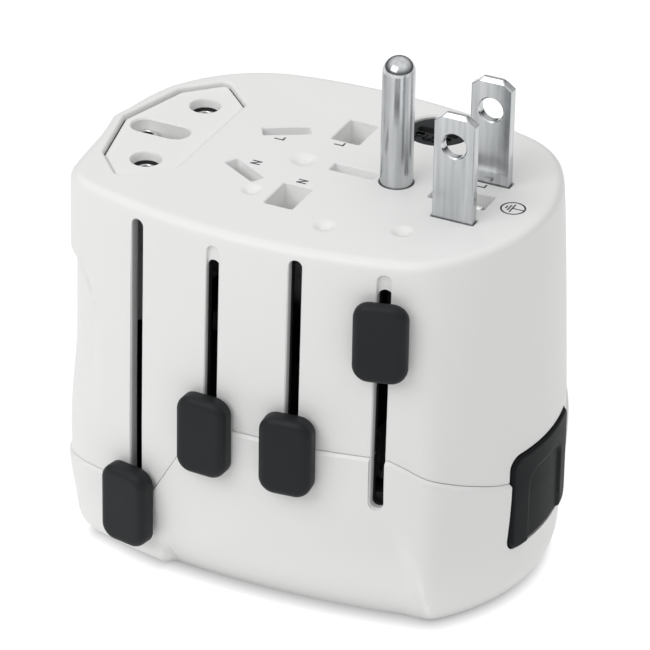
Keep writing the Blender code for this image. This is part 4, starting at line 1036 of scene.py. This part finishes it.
def make_us_blade(name, sign):
    """A US blade with a chamfered tip and an eye with a countersunk rim."""
    y = sign * US_PITCH
    levels = ((US_LOW, 0.0, 0.0), (US_TIP - 1.35, 0.0, 0.0), (US_TIP - 0.55, 1.15, 0.0), (US_TIP, 1.6, 0.45))
    rings = []
    for z, along, across in levels:
        outline = box_outline(US_BLADE[0] - 2 * along, US_BLADE[1] - 2 * across, US_BLADE_X, y)
        rings.append([(a, b, z) for a, b in soft_outline(outline, 0.2, 0.0, 4)])
    blade = to_object(f"{name}_plated", add_rings(bmesh.new(), rings), ["nickel"], 20.0)
    half, rim = US_BLADE[1] / 2, US_EYE_RIM
    rings = []
    rim_levels = ((-2, rim), (-half, rim), (-half + rim, 0.0), (half - rim, 0.0), (half, rim), (2, rim))
    for depth, grow in rim_levels:
        outline = circle(US_BLADE_X, US_EYE_HEIGHT, US_EYE_RADIUS + grow, 48)
        rings.append([(a, y + depth, b) for a, b in outline])
    carve(blade, add_rings(bmesh.new(), rings), ("nickel",), sharp=25.0)
    finish(blade, "us_slider", name, slot="nickel_plate")


def make_us_ground_pin():
    """The US ground pin, a round pin with a domed tip."""
    radius = US_GROUND_RADIUS
    profile = [(radius - 0.1, US_GROUND_LOW), (radius, US_GROUND_LOW + 0.15)]
    for k in range(13):
        angle = math.radians(88 * k / 12)
        profile.append((radius * math.cos(angle), US_GROUND_TIP - radius * (1 - math.sin(angle))))
    rings = [[(a, b, z) for a, b in circle(US_GROUND_X, 0, radius, 64)] for radius, z in profile]
    pin = to_object("us_ground_pin_plated", add_rings(bmesh.new(), rings), ["nickel"], 40.0)
    finish(pin, "us_slider", "us_ground_pin", slot="nickel_plate")


def make_flat_pins():
    """The UK and Australian pins, which wait inside the case."""
    for name, size, x, y, turn, low, high, body in (
        ("uk_line_pin", UK_BLADE, 0, UK_PITCH, 0, UK_LOW, UK_TIP, "uk_slider"),
        ("uk_neutral_pin", UK_BLADE, 0, -UK_PITCH, 0, UK_LOW, UK_TIP, "uk_slider"),
        ("uk_earth_pin", UK_EARTH_BLADE, UK_EARTH_X, 0, 0, UK_LOW, UK_EARTH_TIP, "uk_slider"),
        ("aus_line_blade", AUS_BLADE, AUS_X, AUS_Y, AUS_SLANT, AUS_LOW, AUS_TIP, "aus_slider"),
        ("aus_neutral_blade", AUS_BLADE, AUS_X, -AUS_Y, -AUS_SLANT, AUS_LOW, AUS_TIP, "aus_slider"),
        ("aus_earth_blade", AUS_BLADE, AUS_EARTH_X, 0, 0, AUS_LOW, AUS_EARTH_TIP, "aus_slider"),
    ):
        across = 0.28 * min(size)
        tip = (min(0.9, across * 2), across)
        bm = add_blade(bmesh.new(), size, x, y, turn, low, high, tip, across * 1.4)
        finish(to_object(f"{name}_plated", bm, ["pin"], 20.0), body, name, slot="pin_plate")


def make_swiss_pins():
    """The Swiss pins, with rounded tips and a dimple in each, painted black inside as shade."""
    high, edge = BLOCK_TOP - SWISS_SUNK, SWISS_ROUND
    tip = []
    for k in range(9):
        angle = math.radians(80 * k / 8)
        tip.append((SWISS_RADIUS - edge + edge * math.cos(angle), high - edge * (1 - math.sin(angle))))
    dimple = [(1.2, high), (1.1, high - 0.12), (1.05, high - 1.3)]
    for name, x, y, low, body in (
        ("swiss_line_pin", SWISS_X, SWISS_Y, SWISS_LOW, "swiss_slider"),
        ("swiss_neutral_pin", SWISS_X, -SWISS_Y, SWISS_LOW, "swiss_slider"),
        ("swiss_earth_pin", SWISS_EARTH_X, 0, SWISS_EARTH_LOW, "swiss_earth"),
    ):
        profile = [(SWISS_RADIUS, low), *tip, *dimple]
        rings = [[(a, b, z) for a, b in circle(x, y, radius, 40)] for radius, z in profile]
        # painted shade: the dimple takes the black
        bm = add_rings(bmesh.new(), rings, (len(tip) + 2,))
        finish(to_object(f"{name}_plated", bm, ["pin", "painted_shade_black"], 40.0), body, name, slot="pin_plate")


def add_block_holes(bm):
    """Adds cutters for the plug block's two round holes and its long one, each flared at its mouth. The round
    holes are painted black as shade deeper than 1.3 mm.
    """
    through = -BLOCK_PLATE - 1
    mouth = ((1.0, 0.42), (0.0, 0.42), (-0.1, 0.34), (-0.3, 0.25), (-0.6, 0.17), (-1.3, 0.07),
             (through, 0.07))
    for sign in (-1, 1):
        add_levels(bm, disc(SWISS_X, sign * SWISS_Y, SWISS_RADIUS, 48), mouth, (5,), BLOCK_TOP)
    shape = rounded(box_outline(*BLOCK_SLOT, 0.5 * (SWISS_X + SWISS_EARTH_X), 0), BLOCK_SLOT_CORNER, 12)
    add_levels(bm, shape, ((1.0, 0.2), (0.0, 0.2), (-0.25, 0.0), (through, -0.4)), base=BLOCK_TOP)


def make_swiss_block():
    """The sliding plug block: a hollow body with a rounded face, two round holes and a long one."""
    bottom = BLOCK_TOP - BLOCK_HEIGHT
    levels = [(BLOCK_TOP, BLOCK_CORNER + 0.4, 0.9)]
    levels += [(BLOCK_TOP - depth, BLOCK_CORNER, inset) for inset, depth in round_edge(0.5)]
    levels.append((bottom, BLOCK_CORNER, 0.0))
    rings = []
    for z, corner, inset in levels:
        rings.append([(x, y, z) for x, y in soft_outline(BLOCK_OUTLINE, corner, -BLOCK_GAP - inset)])
    block = to_object("swiss_block_shell", add_rings(bmesh.new(), rings), ["case"])
    outline = inset_outline(BLOCK_OUTLINE, BLOCK_HOLLOW_INSET)
    hollow = [[(x, y, z) for x, y in outline] for z in (bottom - 1, BLOCK_TOP - BLOCK_PLATE)]
    # painted shade: the hollow's inside is black
    carve(block, add_rings(bmesh.new(), hollow), ("painted_shade_black",))
    holes = bmesh.new()
    add_block_holes(holes)
    carve(block, holes, ("case", "painted_shade_black"))
    finish(block, "swiss_block", "swiss_plug_block", slot="white_case")


# ---------------------------------------------------------------- fuse cap, socket face and marks

def make_fuse_cap():
    """The fuse cap's disc with a driver slot across it, painted black as shade deeper than 0.4 mm."""
    radius = FUSE_CAP_RADIUS
    profile = ((3.5, -3.4), (3.5, -1.35), (4.45, -1.35), (radius, -1.2), (radius, -0.5), (4.45, -0.35),
               (4.25, -0.3), (3.0, -0.3))
    rings = [[(a, b, z) for a, b in circle(FUSE_X, FUSE_Y, reach, 64)] for reach, z in profile]
    cap = to_object("fuse_cap_disc", add_rings(bmesh.new(), rings), ["soft"])
    shape = rounded(box_outline(6.4, 1.7, FUSE_X, FUSE_Y), 0.5)
    levels = ((1.0, 0.1), (-0.3, 0.1), (-0.4, 0.0), (-1.2, 0.0))
    carve(cap, add_levels(bmesh.new(), shape, levels, (2,)), ("soft", "painted_shade_black"))
    finish(cap, "fuse_cap", "fuse_cap", slot="soft_black")


def socket_outline(grow):
    return soft_outline(box_outline(*SOCKET_SIZE, 0, SOCKET_Y), SOCKET_CORNER, grow, 16)


def make_socket_plate():
    """The plate that the case stands on, with a window for each kind of plug pin."""
    levels = [(-CASE_HEIGHT + depth, -inset) for inset, depth in round_edge(0.4, 4)] + [(SOCKET_TOP, 0)]
    plate = to_object("socket_face", add_levels(bmesh.new(), socket_outline, levels), ["case"])
    tools = bmesh.new()
    levels = ((-CASE_HEIGHT - 1, 0.3), (-CASE_HEIGHT, 0.3), (-CASE_HEIGHT + 0.4, 0.0), (SOCKET_TOP + 1, 0.0))
    for window in WINDOWS:
        add_levels(tools, rounded(box_outline(*window), 0.5), levels)
    carve(plate, tools)
    finish(plate, "case", "socket_plate", slot="white_case")


def add_bar(bm, start, end, width, low=INK_LOW, high=INK_HIGH):
    """Adds a thin bar between two points in plan."""
    (x0, y0), (x1, y1) = start, end
    turn = math.atan2(y1 - y0, x1 - x0)
    length = math.hypot(x1 - x0, y1 - y0) + width
    outline = box_outline(length, width, (x0 + x1) / 2, (y0 + y1) / 2, turn)
    add_rings(bm, [[(x, y, z) for x, y in outline] for z in (low, high)])


def add_letter(bm, letter, x, y, height, turn, width, low=INK_LOW, high=INK_HIGH):
    """Adds a letter of thin bars, centred on (x, y) and turned in plan."""
    cos, sin = math.cos(turn) * height, math.sin(turn) * height
    strokes = [(a - 0.33, b - 0.5) for a, b in LETTERS[letter]]
    points = [(x + a * cos - b * sin, y + a * sin + b * cos) for a, b in strokes]
    for start, end in zip(points, points[1:]):
        add_bar(bm, start, end, width, low, high)


def make_polarity_marks():
    for index, (letter, x, y) in enumerate(POLARITY):
        bm = bmesh.new()
        add_letter(bm, letter, x, y, POLARITY_HEIGHT, math.radians(90), POLARITY_STROKE)
        finish(to_object(f"polarity_mark_{index + 1}", bm, ["ink"]), "case", slot="soft_black")


def make_earth_mark():
    """The earth sign: a ring, a lead and three bars."""
    bm = bmesh.new()
    x, y = EARTH_MARK
    ring = circle(x, y, EARTH_MARK_RADIUS, 32)
    for start, end in zip(ring, ring[1:] + ring[:1]):
        add_bar(bm, start, end, EARTH_STROKE)
    for along, half in EARTH_BARS:
        add_bar(bm, (x + along, y - half), (x + along, y + half), EARTH_STROKE)
    add_bar(bm, (x + EARTH_BARS[0][0], y), (x + 1.65, y), EARTH_STROKE)
    finish(to_object("earth_mark", bm, ["ink"]), "case", slot="soft_black")


def make_cap_word():
    """The word on the fuse cap, which turns with it."""
    bm = bmesh.new()
    left, y = FUSE_X - 1.5 * CAP_WORD_PITCH, FUSE_Y - 2.35
    for index, letter in enumerate(CAP_WORD):
        add_letter(bm, letter, left + CAP_WORD_PITCH * index, y, CAP_WORD_HEIGHT, 0.0, CAP_WORD_STROKE,
                   CAP_WORD_LOW, CAP_WORD_HIGH)
    finish(to_object("fuse_cap_word", bm, ["soft"]), "fuse_cap", slot="soft_black")


def give_node_materials():
    """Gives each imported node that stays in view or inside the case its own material."""
    for material_name, node_names in NODE_MATERIALS.items():
        for node_name in node_names:
            for material_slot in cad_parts[node_name].material_slots:
                material_slot.material = MATERIALS[material_name]


MATERIALS = make_materials()
make_camera()
make_studio()
make_upper_housing()
make_lower_housing()
for slider in SLIDERS:
    make_knob(slider)
make_release_button()
make_us_blade("us_line_blade", 1)
make_us_blade("us_neutral_blade", -1)
make_us_ground_pin()
make_flat_pins()
make_swiss_pins()
make_swiss_block()
make_fuse_cap()
make_socket_plate()
make_polarity_marks()
make_earth_mark()
make_cap_word()
give_node_materials()
